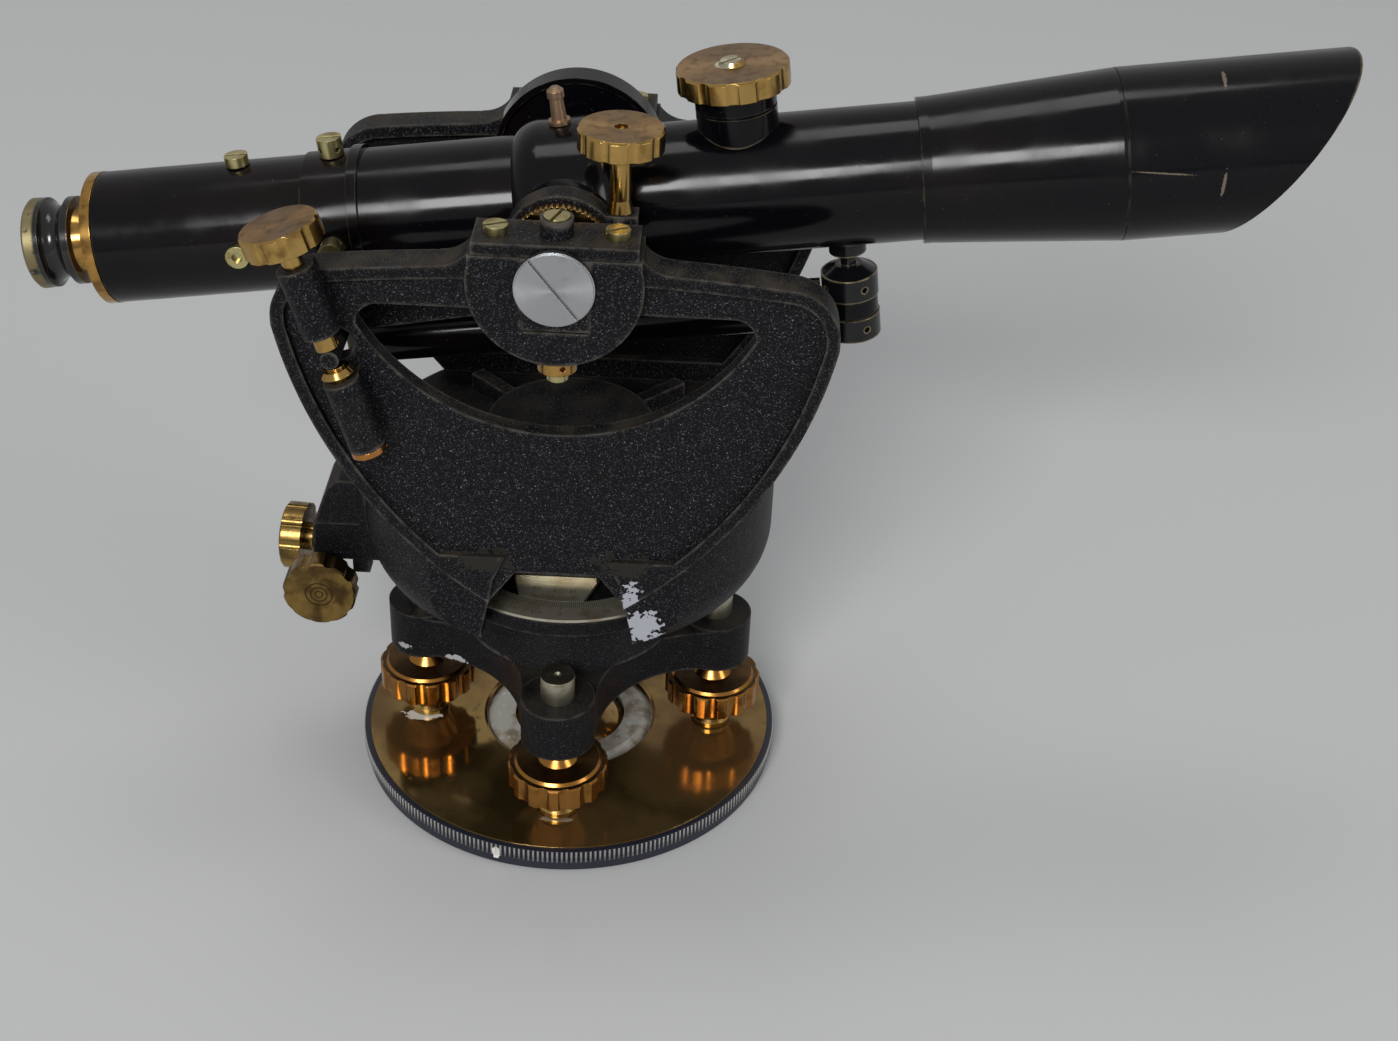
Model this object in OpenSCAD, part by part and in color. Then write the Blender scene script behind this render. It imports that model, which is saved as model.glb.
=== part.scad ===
// Optical transit on a four-screw levelling head.
// Z is the vertical axis, X runs towards the objective, Y points away from the front standard.
// The origin is the centre of the foot ring's underside. All sizes are in millimetres.

/* [Foot] */
// Outer radius of the knurled foot ring
foot_r = 60; // [56:0.5:66]
// Height of the foot ring
foot_h = 7.4; // [7:0.2:10]
// Radius of the tripod thread in the foot ring
thread_r = 44.45; // [40:0.05:47]
// Length of the tripod thread
thread_l = 3; // [2.6:0.1:3.2]
// Number of knurl teeth round the ring
knurl_teeth = 288; // [120:12:360]
// Depth of the knurl
knurl_depth = 0.6; // [0.3:0.1:0.9]
// Width of the ring's rim outside the brass plate
foot_rim_w = 1.9; // [1.6:0.1:3]
// Thickness of the brass foot plate
plate_t = 2.2; // [1.6:0.1:3]
// Height of the plate above the ring
plate_proud = 0.2; // [0:0.1:0.6]
// Radius of the hole in the foot plate
plate_hole_r = 24.3; // [22:0.1:27]

/* [Levelling] */
// Distance of each levelling screw from the centre
screw_circle_r = 41.4; // [40:0.2:43]
// Radius of a levelling wheel
wheel_r = 13.6; // [12:0.1:14.4]
// Height of a levelling wheel's rim
wheel_h = 7; // [5:0.2:8]
// Height of the wheel above the foot plate
wheel_lift = 10.2; // [8:0.2:11]
// Number of flutes round a levelling wheel
wheel_flutes = 14; // [10:1:18]
// Radius of the threaded stud
stud_r = 3.6; // [3:0.1:4]
// Radius of a foot shoe
shoe_r = 5.8; // [5:0.1:7]
// Height of a foot shoe
shoe_h = 2.5; // [2:0.1:3]
// Underside of the arm bosses
head_bottom_z = 32.6; // [31.6:0.2:34]
// Height of the arm bosses
boss_h = 14.2; // [13:0.1:15]
// Radius of the arm bosses
boss_r = 10; // [9:0.1:10.8]
// Height of a dust cap
cap_h = 7.3; // [6.6:0.1:9]
// Radius of a dust cap
cap_r = 4.6; // [4.4:0.1:5.6]
// Radius of the half ball
ball_r = 23.6; // [22:0.1:25]
// Depth of the ball's centre below the foot
ball_depth = 12; // [11:0.2:13]
// Radius of the half ball's stem
stem_r = 10.5; // [9:0.1:12]

/* [Circle and bowl] */
// Underside of the circle carrier's rim
circle_z = 64.4; // [63:0.1:66]
// Radius of the circle carrier
circle_r = 38.5; // [36:0.1:40]
// Height of the carrier's rim
circle_h = 5.4; // [4.6:0.1:6]
// Width of the graduated ring
scale_w = 8; // [6:0.1:9]
// Outer radius of the bowl
bowl_r = 55.2; // [53:0.1:57]
// Radius of the bowl's lower curve
bowl_curve_r = 16; // [12:0.2:16.4]
// Top of the bowl
bowl_top_z = 100; // [97:0.5:102]
// Thickness of the bowl's wall
bowl_wall = 4; // [3:0.1:5]
// Radius of the spindle
spindle_r = 9; // [7:0.1:10]
// Height of the hub on top of the bowl
hub_h = 8; // [4:0.5:9]
// Half width of the reading window at the circle
window_w = 19.5; // [17:0.1:21]

/* [Standards] */
// Height of the telescope's trunnion axis
axis_z = 171.5; // [168:0.5:176]
// Distance of a standard's outer face from the middle
standard_y = 46; // [45:0.2:48]
// Thickness of a standard
standard_t = 9; // [8:0.2:10]
// Height of the standard's top above the trunnion axis
top_rise = 3.9; // [3:0.1:4.6]
// Half width of a standard
standard_half_w = 68.3; // [67.5:0.1:69]
// Radius of the standard's curved sides
side_r = 123; // [118:0.5:128]
// Radius of the standard's crowned top
crown_r = 500; // [400:10:800]
// Radius of the standard's upper corners
corner_r = 13; // [11:0.5:14]
// Width of the raised rim
rim_w = 3.2; // [2.6:0.1:4.2]
// Depth of the recessed field in the outer face
field_d = 1.8; // [1:0.1:2.2]
// Depth of the recessed field in the inner face
back_d = 2.6; // [1.6:0.1:2.8]
// Radius of the opening's curved lower edge
opening_r = 53; // [51:0.5:55]
// Depth of the opening below its flat upper edge
opening_h = 33.6; // [32:0.2:34.6]
// Half width of the opening
opening_half_w = 46.8; // [45:0.2:47.2]
// Radius of the opening's upper corners
opening_corner_r = 5.5; // [4:0.1:7]
// Height of the bar above the opening
bar_h = 11.9; // [11.5:0.1:13]
// Radius of the bearing boss
bearing_r = 20.6; // [20:0.1:21.5]
// Thickness of the bearing cap
bearing_cap_t = 3; // [2.4:0.1:4]

/* [Telescope] */
// Tilt of the telescope at rest, in degrees
tilt = 8; // [4:0.5:10]
// Radius of the main tube
tube_r = 16.8; // [16:0.1:17.4]
// Radius of the eyepiece tube
eye_tube_r = 16.4; // [15.8:0.1:16.8]
// Wall of the tubes
tube_wall = 1.8; // [1.4:0.1:2.2]
// Radius of the middle hub
barrel_r = 20.2; // [19.4:0.1:20.4]
// Length of the middle hub
barrel_l = 27; // [25:0.5:30]
// Distance of the flange ring from the trunnion axis
flange_s = 52.5; // [50:0.5:54]
// Distance of the objective cone's start
cone_s = 86; // [84:0.5:92]
// Distance of the sunshade's seam
shade_s = 133.8; // [130:0.2:138]
// Outer radius of the sunshade
shade_r = 20.8; // [20:0.1:22]
// Length of the sunshade's long side
shade_long = 56; // [50:0.5:58]
// Length of the sunshade's short side
shade_short = 22; // [20:0.5:26]
// Length of the ring that joins the eyepiece tube
eye_ring_l = 11.5; // [10.5:0.1:12.5]
// Length of the eyepiece tube
eye_tube_l = 52.5; // [50:0.5:56]
// Distance of the focus knob
focus_s = 43; // [40:0.5:46]
// Radius of the focus knob
focus_r = 13.7; // [12:0.1:14]
// Height of the focus knob's face above the axis
focus_top = 31.4; // [30.4:0.1:33]
// Radius of the eyecup
eyecup_r = 11.4; // [10.6:0.1:12.4]

/* [Telescope level] */
// Depth of the level below the telescope's axis
level_drop = 34; // [33:0.2:35]
// Radius of the level's tube
level_r = 6.4; // [6:0.1:6.8]
// Start of the level's tube
level_s0 = -57; // [-60:0.5:-54]
// Radius of the adjusting post's upper nut
level_nut_r = 7.2; // [6:0.1:7.4]
// Distance of the adjusting post
post_s = 67.4; // [67:0.2:68.6]
// Radius of the glass vial
vial_r = 4.3; // [3.6:0.1:4.6]

/* [Vertical motion] */
// Sideways place of the tangent axis at the stud
stud_x = -51.7; // [-53:0.1:-51]
// Height of the stud below the trunnion axis
stud_drop = 19; // [18:0.1:20]
// Lean of the tangent axis from the vertical, in degrees
tangent_lean = 16.6; // [14:0.2:18]
// Radius of the tangent barrels
barrel_v_r = 4.4; // [4.2:0.1:4.8]
// Radius of the tangent knob
tangent_knob_r = 9.4; // [8.5:0.1:10]
// Radius of the vertical clamp collar
collar_r = 13.9; // [13.4:0.1:16]
// Radius of the trunnion where the clamp grips
trunnion_r = 9; // [8:0.1:9.6]
// Radius of the trunnion's journals
journal_r = 6; // [5:0.1:6.4]
// Sideways place of the clamp screw
clamp_x = 13.5; // [13:0.1:14]
// Radius of the circle guard
guard_r = 22; // [21.4:0.1:24]

/* [Horizontal motion] */
// Distance of the tangent axis from the centre line
h_tangent_x = 66.4; // [65.8:0.1:67]
// Height of the horizontal clamp's axis
h_clamp_z = 61.8; // [61:0.1:61.8]
// Azimuth of the clamp arm behind the left side, in degrees
h_clamp_turn = 4.5; // [4:0.5:7]
// Radius of the horizontal knobs
h_knob_r = 9.5; // [8.4:0.1:9.6]

/* [Fits] */
// Radial clearance of a running fit
run_fit = 0.05; // [0.03:0.01:0.08]
// Clearance between seated pieces
seat_gap = 0.05; // [0.03:0.01:0.08]
// Free gap between pieces that move past each other
free_gap = 0.4; // [0.35:0.05:0.6]

/* [Hidden] */
$fn = 64;
e = 0.01;
knob_bevel = 0.5;

// Foot
plate_r = foot_r - foot_rim_w;
plate_top_z = foot_h + plate_proud;
plate_z = plate_top_z - plate_t;
ball_z = -ball_depth;
shift_z = thread_l + 0.2;
ball_low_z = thread_l + 0.6;
socket_mouth_r = 16;

// Levelling screws
shoe_z = plate_top_z + 0.3;
wheel_z = plate_top_z + wheel_lift;
head_top_z = head_bottom_z + boss_h;
cap_wall = 0.7;
web_inset = 0.8;
arm_curve_r = screw_circle_r - boss_r;
head_hub_r = 30;
head_hub_z = 56;

// Circle and bowl
scale_z = circle_z + circle_h;
scale_t = 0.8;
carrier_hub_r = 24;
well_z = circle_z + 2.6;
socket_r = 15;
bowl_z = circle_z + 0.2;
bowl_mouth_r = circle_r + 0.8;
curve_z = bowl_z + bowl_curve_r;
bowl_inner_r = bowl_r - bowl_wall;
column_r = 21;
column_z = scale_z + 1.6;
joint_y = standard_y - standard_t;
window_top_z = bowl_z + 23.9;
pad_z = bowl_z + 29.6;
pad_w = window_w - 7.1;
window_mid_z = window_top_z - 9.5;
window_mid_w = window_w - 2;
window_top_w = window_w - 8.9;
// Upper part of the foot ring's edge that is knurled, and the bevel under it
knurl_l = foot_h / 2;
foot_bevel = 0.7;

// Standards
standard_top_z = axis_z + top_rise;
side_z = standard_top_z + 4.2;
side_offset = side_r - standard_half_w;
corner_x = standard_half_w - 2 - corner_r;
corner_z = standard_top_z - crown_r + sqrt(pow(crown_r - corner_r, 2) - pow(corner_x, 2));
opening_top_z = standard_top_z - bar_h;
opening_z = opening_top_z - opening_h + opening_r;
boss_face_y = standard_y + 1.5;
boss_back_y = standard_y - 13;
boss_mid_y = (boss_face_y + boss_back_y) / 2;
block_w = 15.8;
block_h = 18.8;
cap_seat_z = axis_z + 6.9;
block_z = cap_seat_z - block_h;
cap_half_w = bearing_r - 1.4;
boss_half_w = bearing_r - 0.6;
cap_rise = cap_seat_z - standard_top_z + 0.6;
cap_fillet_r = 9;
cap_fillet_w = sqrt(pow(cap_fillet_r, 2) - pow(cap_fillet_r - cap_rise, 2));

// Tangent axis of the vertical motion: t runs down along the axis, 0 is the stud
stud_z = axis_z - stud_drop;
tangent_y = standard_y + barrel_v_r;
pin_r = 2.2;
arm_rise = 10.6;
arm_up = 4.4;
arm_down = 5.1;
guide_r = 2.2;
collar_y0 = boss_back_y - 4.4;
collar_l = 6;
guard_t = 7.4;
guard_y0 = boss_back_y - 1.2 - guard_t;
clamp_screw_r = 2.1;
clamp_nut_r = 3.2;
clamp_lug_z = sqrt(collar_r * collar_r - pow(clamp_x - clamp_nut_r, 2));
hub_y = barrel_r + 1.2;

upper_l = 17.4;
upper_t = -6.3 - upper_l;
lower_t = 6.4;
lower_l = 18.6;
nut_r = 2.8;

// Horizontal clamp
arm_h = 4.8;
arm_w = 9;
h_screw_r = 1.5;
h_arm_end = carrier_hub_r + 48;

// Telescope places along its own axis
eye_s = -(flange_s + eye_ring_l + eye_tube_l);
stop_s = -(flange_s + eye_ring_l + 16.8);
level_s1 = post_s - level_nut_r - 0.3;
reticle_s = -(flange_s + 4.5);
eye_ring_r = eye_tube_r + 0.6;
reticle_head_r = 3.1;

// ---- shared forms ----

// A knob or wheel with hollow flutes, standing on its lower face.
// The share is the part of a pitch that a flute takes
module fluted(r, h, n, depth = 0.5, share = 0.5) {
  half_w = share * PI * r / n;
  flute_r = (half_w * half_w + depth * depth) / (2 * depth);
  difference() {
    union() {
      cylinder(r = r, h = h - knob_bevel);
      translate([0, 0, h - knob_bevel]) cylinder(r1 = r, r2 = r - knob_bevel, h = knob_bevel);
    }
    for (i = [0:n - 1])
      rotate(i * 360 / n) translate([r + flute_r - depth, 0, -1]) cylinder(r = flute_r, h = h + 2, $fn = 24);
  }
}

// A tube or ring
module ring(ro, ri, h) {
  difference() {
    cylinder(r = ro, h = h);
    translate([0, 0, -1]) cylinder(r = ri, h = h + 2);
  }
}

module at_screw(k) rotate(90 * k) translate([0, -screw_circle_r, 0]) children();

// Turns a Z-axis form to lie along X, or along Y
module along_x() rotate([0, 90, 0]) children();
module along_y() rotate([-90, 0, 0]) children();

// Places a form in the telescope's own frame: x along the tube, z above its axis
module on_telescope() translate([0, 0, axis_z]) rotate([0, -tilt, 0]) children();
module on_tube(s) on_telescope() translate([s, 0, 0]) along_x() children();

// Places a form on the vertical tangent axis: its Z runs down the axis, the origin is the stud
module on_tangent() translate([stud_x, -tangent_y, stud_z]) rotate([0, 180 - tangent_lean, 0]) children();

// Extrudes an outline drawn in X and Z between two distances in front of the middle
module upright(y0, y1) translate([0, -y0, 0]) rotate([90, 0, 0]) linear_extrude(y1 - y0) children();

// A slotted screw head, slot along X
module slotted_head(r, h, slot = 0.8) {
  difference() {
    cylinder(r = r, h = h);
    translate([-r - 1, -slot / 2, h - 0.8]) cube([2 * r + 2, slot, 2]);
  }
}

// ---- foot ----

module knurl_outline() {
  polygon([for (i = [0:2 * knurl_teeth - 1])
    let (r = i % 2 == 0 ? foot_r : foot_r - knurl_depth, a = i * 180 / knurl_teeth) [r * cos(a), r * sin(a)]]);
}

module foot_ring() {
  band_r = foot_r - knurl_depth - 0.05;
  color("#26262a") difference() {
    union() {
      translate([0, 0, foot_h - knurl_l]) linear_extrude(knurl_l) knurl_outline();
      translate([0, 0, foot_bevel]) cylinder(r = band_r, h = foot_h - foot_bevel - knurl_l / 2);
      cylinder(r1 = band_r - foot_bevel, r2 = band_r, h = foot_bevel);
    }
    translate([0, 0, -1]) cylinder(r = thread_r, h = foot_h + 2);
    translate([0, 0, thread_l]) cylinder(r = thread_r + 1, h = foot_h);
    translate([0, 0, plate_z]) cylinder(r = plate_r + seat_gap, h = foot_h);
    at_plate_screws() translate([0, 0, -1]) cylinder(r = 1.5, h = foot_h);
    at_plate_screws() translate([0, 0, -1]) cylinder(r = 3, h = 2.6);
  }
}

module at_plate_screws()
  for (i = [0:3]) rotate(45 + 90 * i) translate([(thread_r + plate_r) / 2, 0, 0]) children();

module foot_plate() {
  color("#8a6a2e") difference() {
    translate([0, 0, plate_z]) cylinder(r = plate_r, h = plate_t);
    translate([0, 0, plate_z - 1]) cylinder(r = plate_hole_r, h = plate_t + 2);
    translate([0, 0, plate_top_z - 0.6]) cylinder(r1 = plate_hole_r, r2 = plate_hole_r + 0.8, h = 0.61);
    at_plate_screws() translate([0, 0, plate_z - 1]) cylinder(r = 1.5, h = 1 + plate_t - 0.7);
  }
}

module plate_screws() {
  color("#8f8f8f") at_plate_screws() union() {
    translate([0, 0, 0.2]) rotate([180, 0, 0]) translate([0, 0, -1.2]) slotted_head(2.8, 1.0);
    translate([0, 0, 1.3]) cylinder(r = 1.4, h = plate_top_z - 0.9 - 1.3);
  }
}

// Annular plate under the foot plate, with a hollow seat for the half ball and a raised collar in the hole
module shifting_plate() {
  color("#b9b8b0") difference() {
    union() {
      translate([0, 0, shift_z]) cylinder(r = thread_r - 6, h = plate_z - seat_gap - shift_z);
      translate([0, 0, plate_z - 1]) cylinder(r = plate_hole_r - 0.6, h = plate_t - 0.6);
      translate([0, 0, plate_top_z - 1.61]) cylinder(r1 = plate_hole_r - 0.6, r2 = plate_hole_r - 3, h = 1.4);
    }
    translate([0, 0, ball_z]) sphere(r = ball_r + 0.3, $fn = 96);
    translate([0, 0, -1]) cylinder(r = socket_mouth_r, h = 20);
  }
}

// ---- levelling head ----

module half_ball() {
  color("#9a7431") difference() {
    union() {
      intersection() {
        translate([0, 0, ball_z]) sphere(r = ball_r, $fn = 96);
        translate([0, 0, ball_low_z]) cylinder(r = ball_r, h = 20);
      }
      translate([0, 0, ball_low_z + 1]) cylinder(r = stem_r, h = head_bottom_z + 3 - ball_low_z);
    }
    translate([0, 0, ball_low_z - 1]) cylinder(r = 5, h = 5, $fn = 6);
  }
}

module head_plan() {
  difference() {
    square(2 * screw_circle_r, center = true);
    for (sx = [-1, 1], sy = [-1, 1])
      translate([sx * screw_circle_r, sy * screw_circle_r]) circle(r = arm_curve_r, $fn = 128);
  }
}

// Cross-shaped casting: four bosses joined by webs with hollow sides, and a hub that carries the circle
module levelling_head() {
  color("#2b2b2c") difference() {
    union() {
      translate([0, 0, head_bottom_z + web_inset]) linear_extrude(boss_h - 2 * web_inset) head_plan();
      for (k = [0:3]) at_screw(k) translate([0, 0, head_bottom_z]) cylinder(r = boss_r, h = boss_h);
      translate([0, 0, head_top_z - web_inset - e])
        cylinder(r1 = head_hub_r, r2 = carrier_hub_r + 2, h = head_hub_z - head_top_z + web_inset + e);
      translate([0, 0, head_bottom_z - 7]) cylinder(r1 = stem_r + 3.5, r2 = stem_r + 7, h = 7 + web_inset + e);
    }
    for (k = [0:3])
      at_screw(k) translate([0, 0, head_bottom_z - 1]) cylinder(r = stud_r + run_fit, h = boss_h + 2);
    translate([0, 0, head_bottom_z - 8]) cylinder(r = stem_r + seat_gap, h = 12.1);
    translate([0, 0, head_bottom_z + 6.6]) cylinder(r = socket_r + seat_gap, h = 40);
  }
}

module dust_caps() {
  color("#b8b5a2") for (k = [0:3]) at_screw(k) translate([0, 0, head_top_z]) difference() {
    cylinder(r = cap_r, h = cap_h);
    translate([0, 0, -1]) cylinder(r = cap_r - cap_wall, h = cap_h - 1.4 + 1);
    translate([0, 0, cap_h - 0.6]) cylinder(r1 = 0.4, r2 = 1.2, h = 0.7);
  }
}

// Brass bush that the spindle turns in
module centre_socket() {
  color("#b08a3e") difference() {
    translate([0, 0, head_bottom_z + 6.8]) cylinder(r = socket_r, h = circle_z + 1.4 - head_bottom_z - 6.8);
    translate([0, 0, head_bottom_z + 9]) cylinder(r = spindle_r + run_fit, h = 60);
  }
}

module circle_carrier() {
  color("#232324") difference() {
    union() {
      translate([0, 0, circle_z]) cylinder(r = circle_r, h = circle_h - scale_t);
      translate([0, 0, head_hub_z]) cylinder(r = carrier_hub_r, h = circle_z - head_hub_z + 1);
    }
    translate([0, 0, head_hub_z - 1]) cylinder(r = socket_r + seat_gap, h = 30);
    translate([0, 0, well_z]) cylinder(r = circle_r - scale_w, h = circle_h);
  }
}

module horizontal_circle() {
  color("#c9c5b4") translate([0, 0, scale_z - scale_t]) ring(circle_r, circle_r - scale_w, scale_t);
}

// ---- levelling screws ----

module shoe() {
  color("#a87f35") difference() {
    translate([0, 0, shoe_z]) union() {
      cylinder(r = shoe_r, h = shoe_h - 1);
      translate([0, 0, shoe_h - 1 - e]) cylinder(r1 = shoe_r, r2 = shoe_r - 1, h = 1 + e);
    }
    translate([0, 0, shoe_z + 0.9]) cylinder(r = 3 + run_fit, h = shoe_h);
  }
}

module levelling_screw() {
  color("#b98a34") {
    translate([0, 0, shoe_z + 1.2]) cylinder(r = 3, h = wheel_z - shoe_z - 1.1);
    translate([0, 0, shoe_z + shoe_h + 0.5])
      cylinder(r1 = shoe_r - 0.6, r2 = wheel_r - 5, h = wheel_z - shoe_z - shoe_h - 0.5);
    translate([0, 0, wheel_z - e]) fluted(wheel_r, wheel_h, wheel_flutes, 0.8, 0.66);
    translate([0, 0, wheel_z + wheel_h - e]) cylinder(r1 = wheel_r - 1.7, r2 = wheel_r - 2.4, h = 0.8);
    translate([0, 0, wheel_z + wheel_h]) cylinder(r1 = 6, r2 = stud_r, h = 3.2);
    translate([0, 0, wheel_z + wheel_h]) cylinder(r = stud_r, h = head_top_z + cap_h - 3 - wheel_z - wheel_h);
  }
}

module shoe_front() at_screw(0) shoe();
module shoe_back() at_screw(2) shoe();
module side_shoes() {
  at_screw(1) shoe();
  at_screw(3) shoe();
}
module levelling_screw_front() at_screw(0) levelling_screw();
module levelling_screw_right() at_screw(1) levelling_screw();
module levelling_screw_back() at_screw(2) levelling_screw();
module levelling_screw_left() at_screw(3) levelling_screw();

// ---- bowl of the alidade ----

// Outer form of the bowl: an upright wall over a rounded underside
module bowl_form(grow = 0) {
  rotate_extrude($fn = 128) intersection() {
    translate([0, bowl_z - grow]) square([bowl_r + grow, bowl_top_z - bowl_z + 2 * grow]);
    union() {
      translate([0, curve_z]) square([bowl_r + grow, bowl_top_z - curve_z - 2]);
      translate([0, bowl_z - grow]) square([bowl_r - bowl_curve_r, bowl_top_z - bowl_z + 2 * grow]);
      translate([bowl_r - bowl_curve_r, curve_z]) circle(r = bowl_curve_r + grow);
      translate([0, bowl_top_z - 4]) square([bowl_r - 2, 4 + grow]);
      translate([bowl_r - 2, bowl_top_z - 2]) circle(r = 2 + grow);
    }
  }
}

// The reading window, narrow above and splayed towards the circle
module window_cut() {
  upright(column_r, bowl_r + 10) polygon([
    [-window_top_w, window_top_z], [window_top_w, window_top_z], [window_mid_w, window_mid_z],
    [window_w, scale_z], [window_w, bowl_z - 5], [-window_w, bowl_z - 5], [-window_w, scale_z],
    [-window_mid_w, window_mid_z]]);
}

// Recess of the front standard's face running down between its two pads
module pad_gap() {
  side_w = window_mid_w - 1.4;
  upright(standard_y - field_d, standard_y + 5) polygon([
    [-pad_w, pad_z + 1], [pad_w, pad_z + 1], [side_w, window_top_z - 1.5],
    [window_mid_w, window_mid_z - 0.5], [-window_mid_w, window_mid_z - 0.5], [-side_w, window_top_z - 1.5]]);
}

// Mouth of the bowl, clear of the circle
module mouth_cut() translate([0, 0, bowl_z - 1]) cylinder(r = bowl_mouth_r, h = column_z - bowl_z + 4);

module alidade_bowl() {
  face_y = standard_y - 1.2;
  color("#29292a") difference() {
    union() {
      difference() {
        bowl_form();
        mouth_cut();
        translate([0, 0, column_z]) intersection() {
          cylinder(r = bowl_inner_r, h = bowl_top_z - bowl_wall - column_z);
          cube([3 * bowl_r, 2 * (joint_y - 3), 200], center = true);
        }
      }
      translate([0, 0, column_z]) cylinder(r = column_r, h = bowl_top_z - column_z - 1);
      translate([0, 0, bowl_top_z - 1]) cylinder(r = 22, h = hub_h + 1);
      for (k = [0:3]) rotate(45 + 90 * k) translate([20, -2, bowl_top_z - 1]) cube([20, 4, hub_h - 2]);
    }
    for (s = [-1, 1]) translate([-100, s > 0 ? face_y : -face_y - 50, 0]) cube([200, 50, 200]);
    both_sides() upright(joint_y, standard_y + 1) shield(-seat_gap);
    window_cut();
    translate([0, 0, column_z - 1]) cylinder(r = spindle_r + seat_gap, h = 20);
  }
}

module spindle() {
  color("#9c9a92") union() {
    translate([0, 0, head_bottom_z + 9.5]) cylinder(r = spindle_r, h = column_z + 18.5 - head_bottom_z - 9.5);
    translate([0, 0, well_z + 0.3]) cylinder(r = column_r - 2, h = column_z - well_z - 0.3 - 0.02);
  }
}

// Silvered plate in line with the circle, held under the bowl's column
module vernier() {
  edge_r = circle_r - scale_w - 0.35;
  color("#cfcbbb") difference() {
    translate([0, 0, scale_z - 1.2]) linear_extrude(column_z - 0.02 - scale_z + 1.2) intersection() {
      circle(r = edge_r, $fn = 128);
      polygon([[-13.6, -column_r + 2], [9.6, -column_r + 2], [5.4, -edge_r - 1], [-10.5, -edge_r - 1]]);
    }
    translate([-20, -edge_r - 1, scale_z]) cube([40, edge_r - column_r + 0.6, 5]);
  }
}

// ---- standards ----

// Shield outline: two bowed sides, a crowned top and round upper corners
module shield(inset = 0) {
  half = standard_half_w - 2 - inset;
  intersection() {
    translate([-side_offset, side_z]) circle(r = side_r - inset, $fn = 180);
    translate([side_offset, side_z]) circle(r = side_r - inset, $fn = 180);
    translate([0, standard_top_z - crown_r]) circle(r = crown_r - inset, $fn = 180);
    union() {
      translate([-corner_x, 0]) square([2 * corner_x, standard_top_z + 1]);
      translate([-half, 0]) square([2 * half, corner_z]);
      for (s = [-1, 1]) translate([s * corner_x, corner_z]) circle(r = corner_r - inset);
    }
  }
}

// Half-moon opening with a flat upper edge
module half_moon() {
  low_z = opening_top_z - opening_h - 1;
  intersection() {
    translate([0, opening_z]) circle(r = opening_r, $fn = 128);
    union() {
      translate([-opening_half_w + opening_corner_r, low_z])
        square([2 * (opening_half_w - opening_corner_r), opening_top_z - low_z]);
      translate([-opening_half_w, low_z])
        square([2 * opening_half_w, opening_top_z - opening_corner_r - low_z]);
      for (s = [-1, 1]) translate([s * (opening_half_w - opening_corner_r), opening_top_z - opening_corner_r])
        circle(r = opening_corner_r);
    }
  }
}

// Raised middle of the top edge, led up to the cap's seat by a hollow curve each side
module cap_seat_outline() {
  half = boss_half_w + cap_fillet_w;
  difference() {
    translate([-half, opening_top_z + 2]) square([2 * half, cap_seat_z - opening_top_z - 2]);
    for (k = [-1, 1]) translate([k * half, cap_seat_z - cap_rise + cap_fillet_r]) circle(r = cap_fillet_r);
  }
}

module bearing_outline() {
  union() {
    translate([0, axis_z]) circle(r = bearing_r, $fn = 96);
    translate([-boss_half_w, axis_z]) square([2 * boss_half_w, cap_seat_z - axis_z]);
  }
}

// One standard, drawn at the front. Its lower end sits in a pocket of the bowl
module standard(window) {
  difference() {
    union() {
      difference() {
        upright(joint_y, standard_y) difference() {
          union() {
            shield();
            cap_seat_outline();
          }
          half_moon();
        }
        // Recessed fields of the outer and inner faces
        upright(standard_y - field_d, standard_y + 5) field_outline(pad_z);
        upright(joint_y - 1, joint_y + back_d) field_outline(bowl_top_z + 6);
      }
      upright(boss_back_y, boss_face_y) bearing_outline();
    }
    // Slot of the sliding bearing block, cut flat under the cap
    translate([-block_w / 2, -boss_face_y - 1, block_z]) cube([block_w, 20, 60]);
    translate([-40, -boss_face_y - 1, cap_seat_z]) cube([80, 20, 40]);
    translate([0, -boss_mid_y, block_z - 20]) cylinder(r = 2 + seat_gap, h = 30);
    at_cap_screws() translate([0, 0, -6]) cylinder(r = 1.8 + seat_gap, h = 20);
    mouth_cut();
    if (window) {
      window_cut();
      pad_gap();
    }
  }
}

// Field inside the raised rim, down to a given height
module field_outline(low_z) {
  difference() {
    shield(rim_w);
    translate([-100, -100]) square([200, low_z + 100]);
  }
}

module at_cap_screws() for (s = [-1, 1])
  translate([s * 14, -boss_mid_y, cap_seat_z]) children();

// Both barrels of the tangent screw, cast on the front standard's face
module tangent_lugs() {
  on_tangent() for (t = [[upper_t, upper_l], [lower_t, lower_l]]) {
    translate([0, 0, t[0]]) cylinder(r = barrel_v_r, h = t[1]);
    translate([-3.4, 0, t[0] + 0.5]) cube([6.8, barrel_v_r + field_d + 0.2, t[1] - 1]);
  }
}

module standard_front() {
  color("#29292a") difference() {
    union() {
      standard(true);
      tangent_lugs();
    }
    // Slot behind the gap, for the clamp arm's stud
    translate([stud_x, -joint_y + 5, stud_z]) along_y() mirror([0, 0, 1]) cylinder(r = pin_r + 2.2, h = 20);
    on_tangent() {
      translate([0, 0, upper_t - 1]) cylinder(r = guide_r + run_fit, h = upper_l + 2);
      translate([0, 0, upper_t + upper_l - 2.2]) cylinder(r = nut_r + 0.3, h = 3);
      translate([0, 0, lower_t - 1]) cylinder(r = guide_r + run_fit, h = 6);
      translate([0, 0, lower_t + 4]) cylinder(r = barrel_v_r - 1.2, h = lower_l);
    }
  }
}

module standard_back() color("#29292a") mirror([0, 1, 0]) standard(false);

module both_sides() {
  children();
  mirror([0, 1, 0]) children();
}

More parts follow.
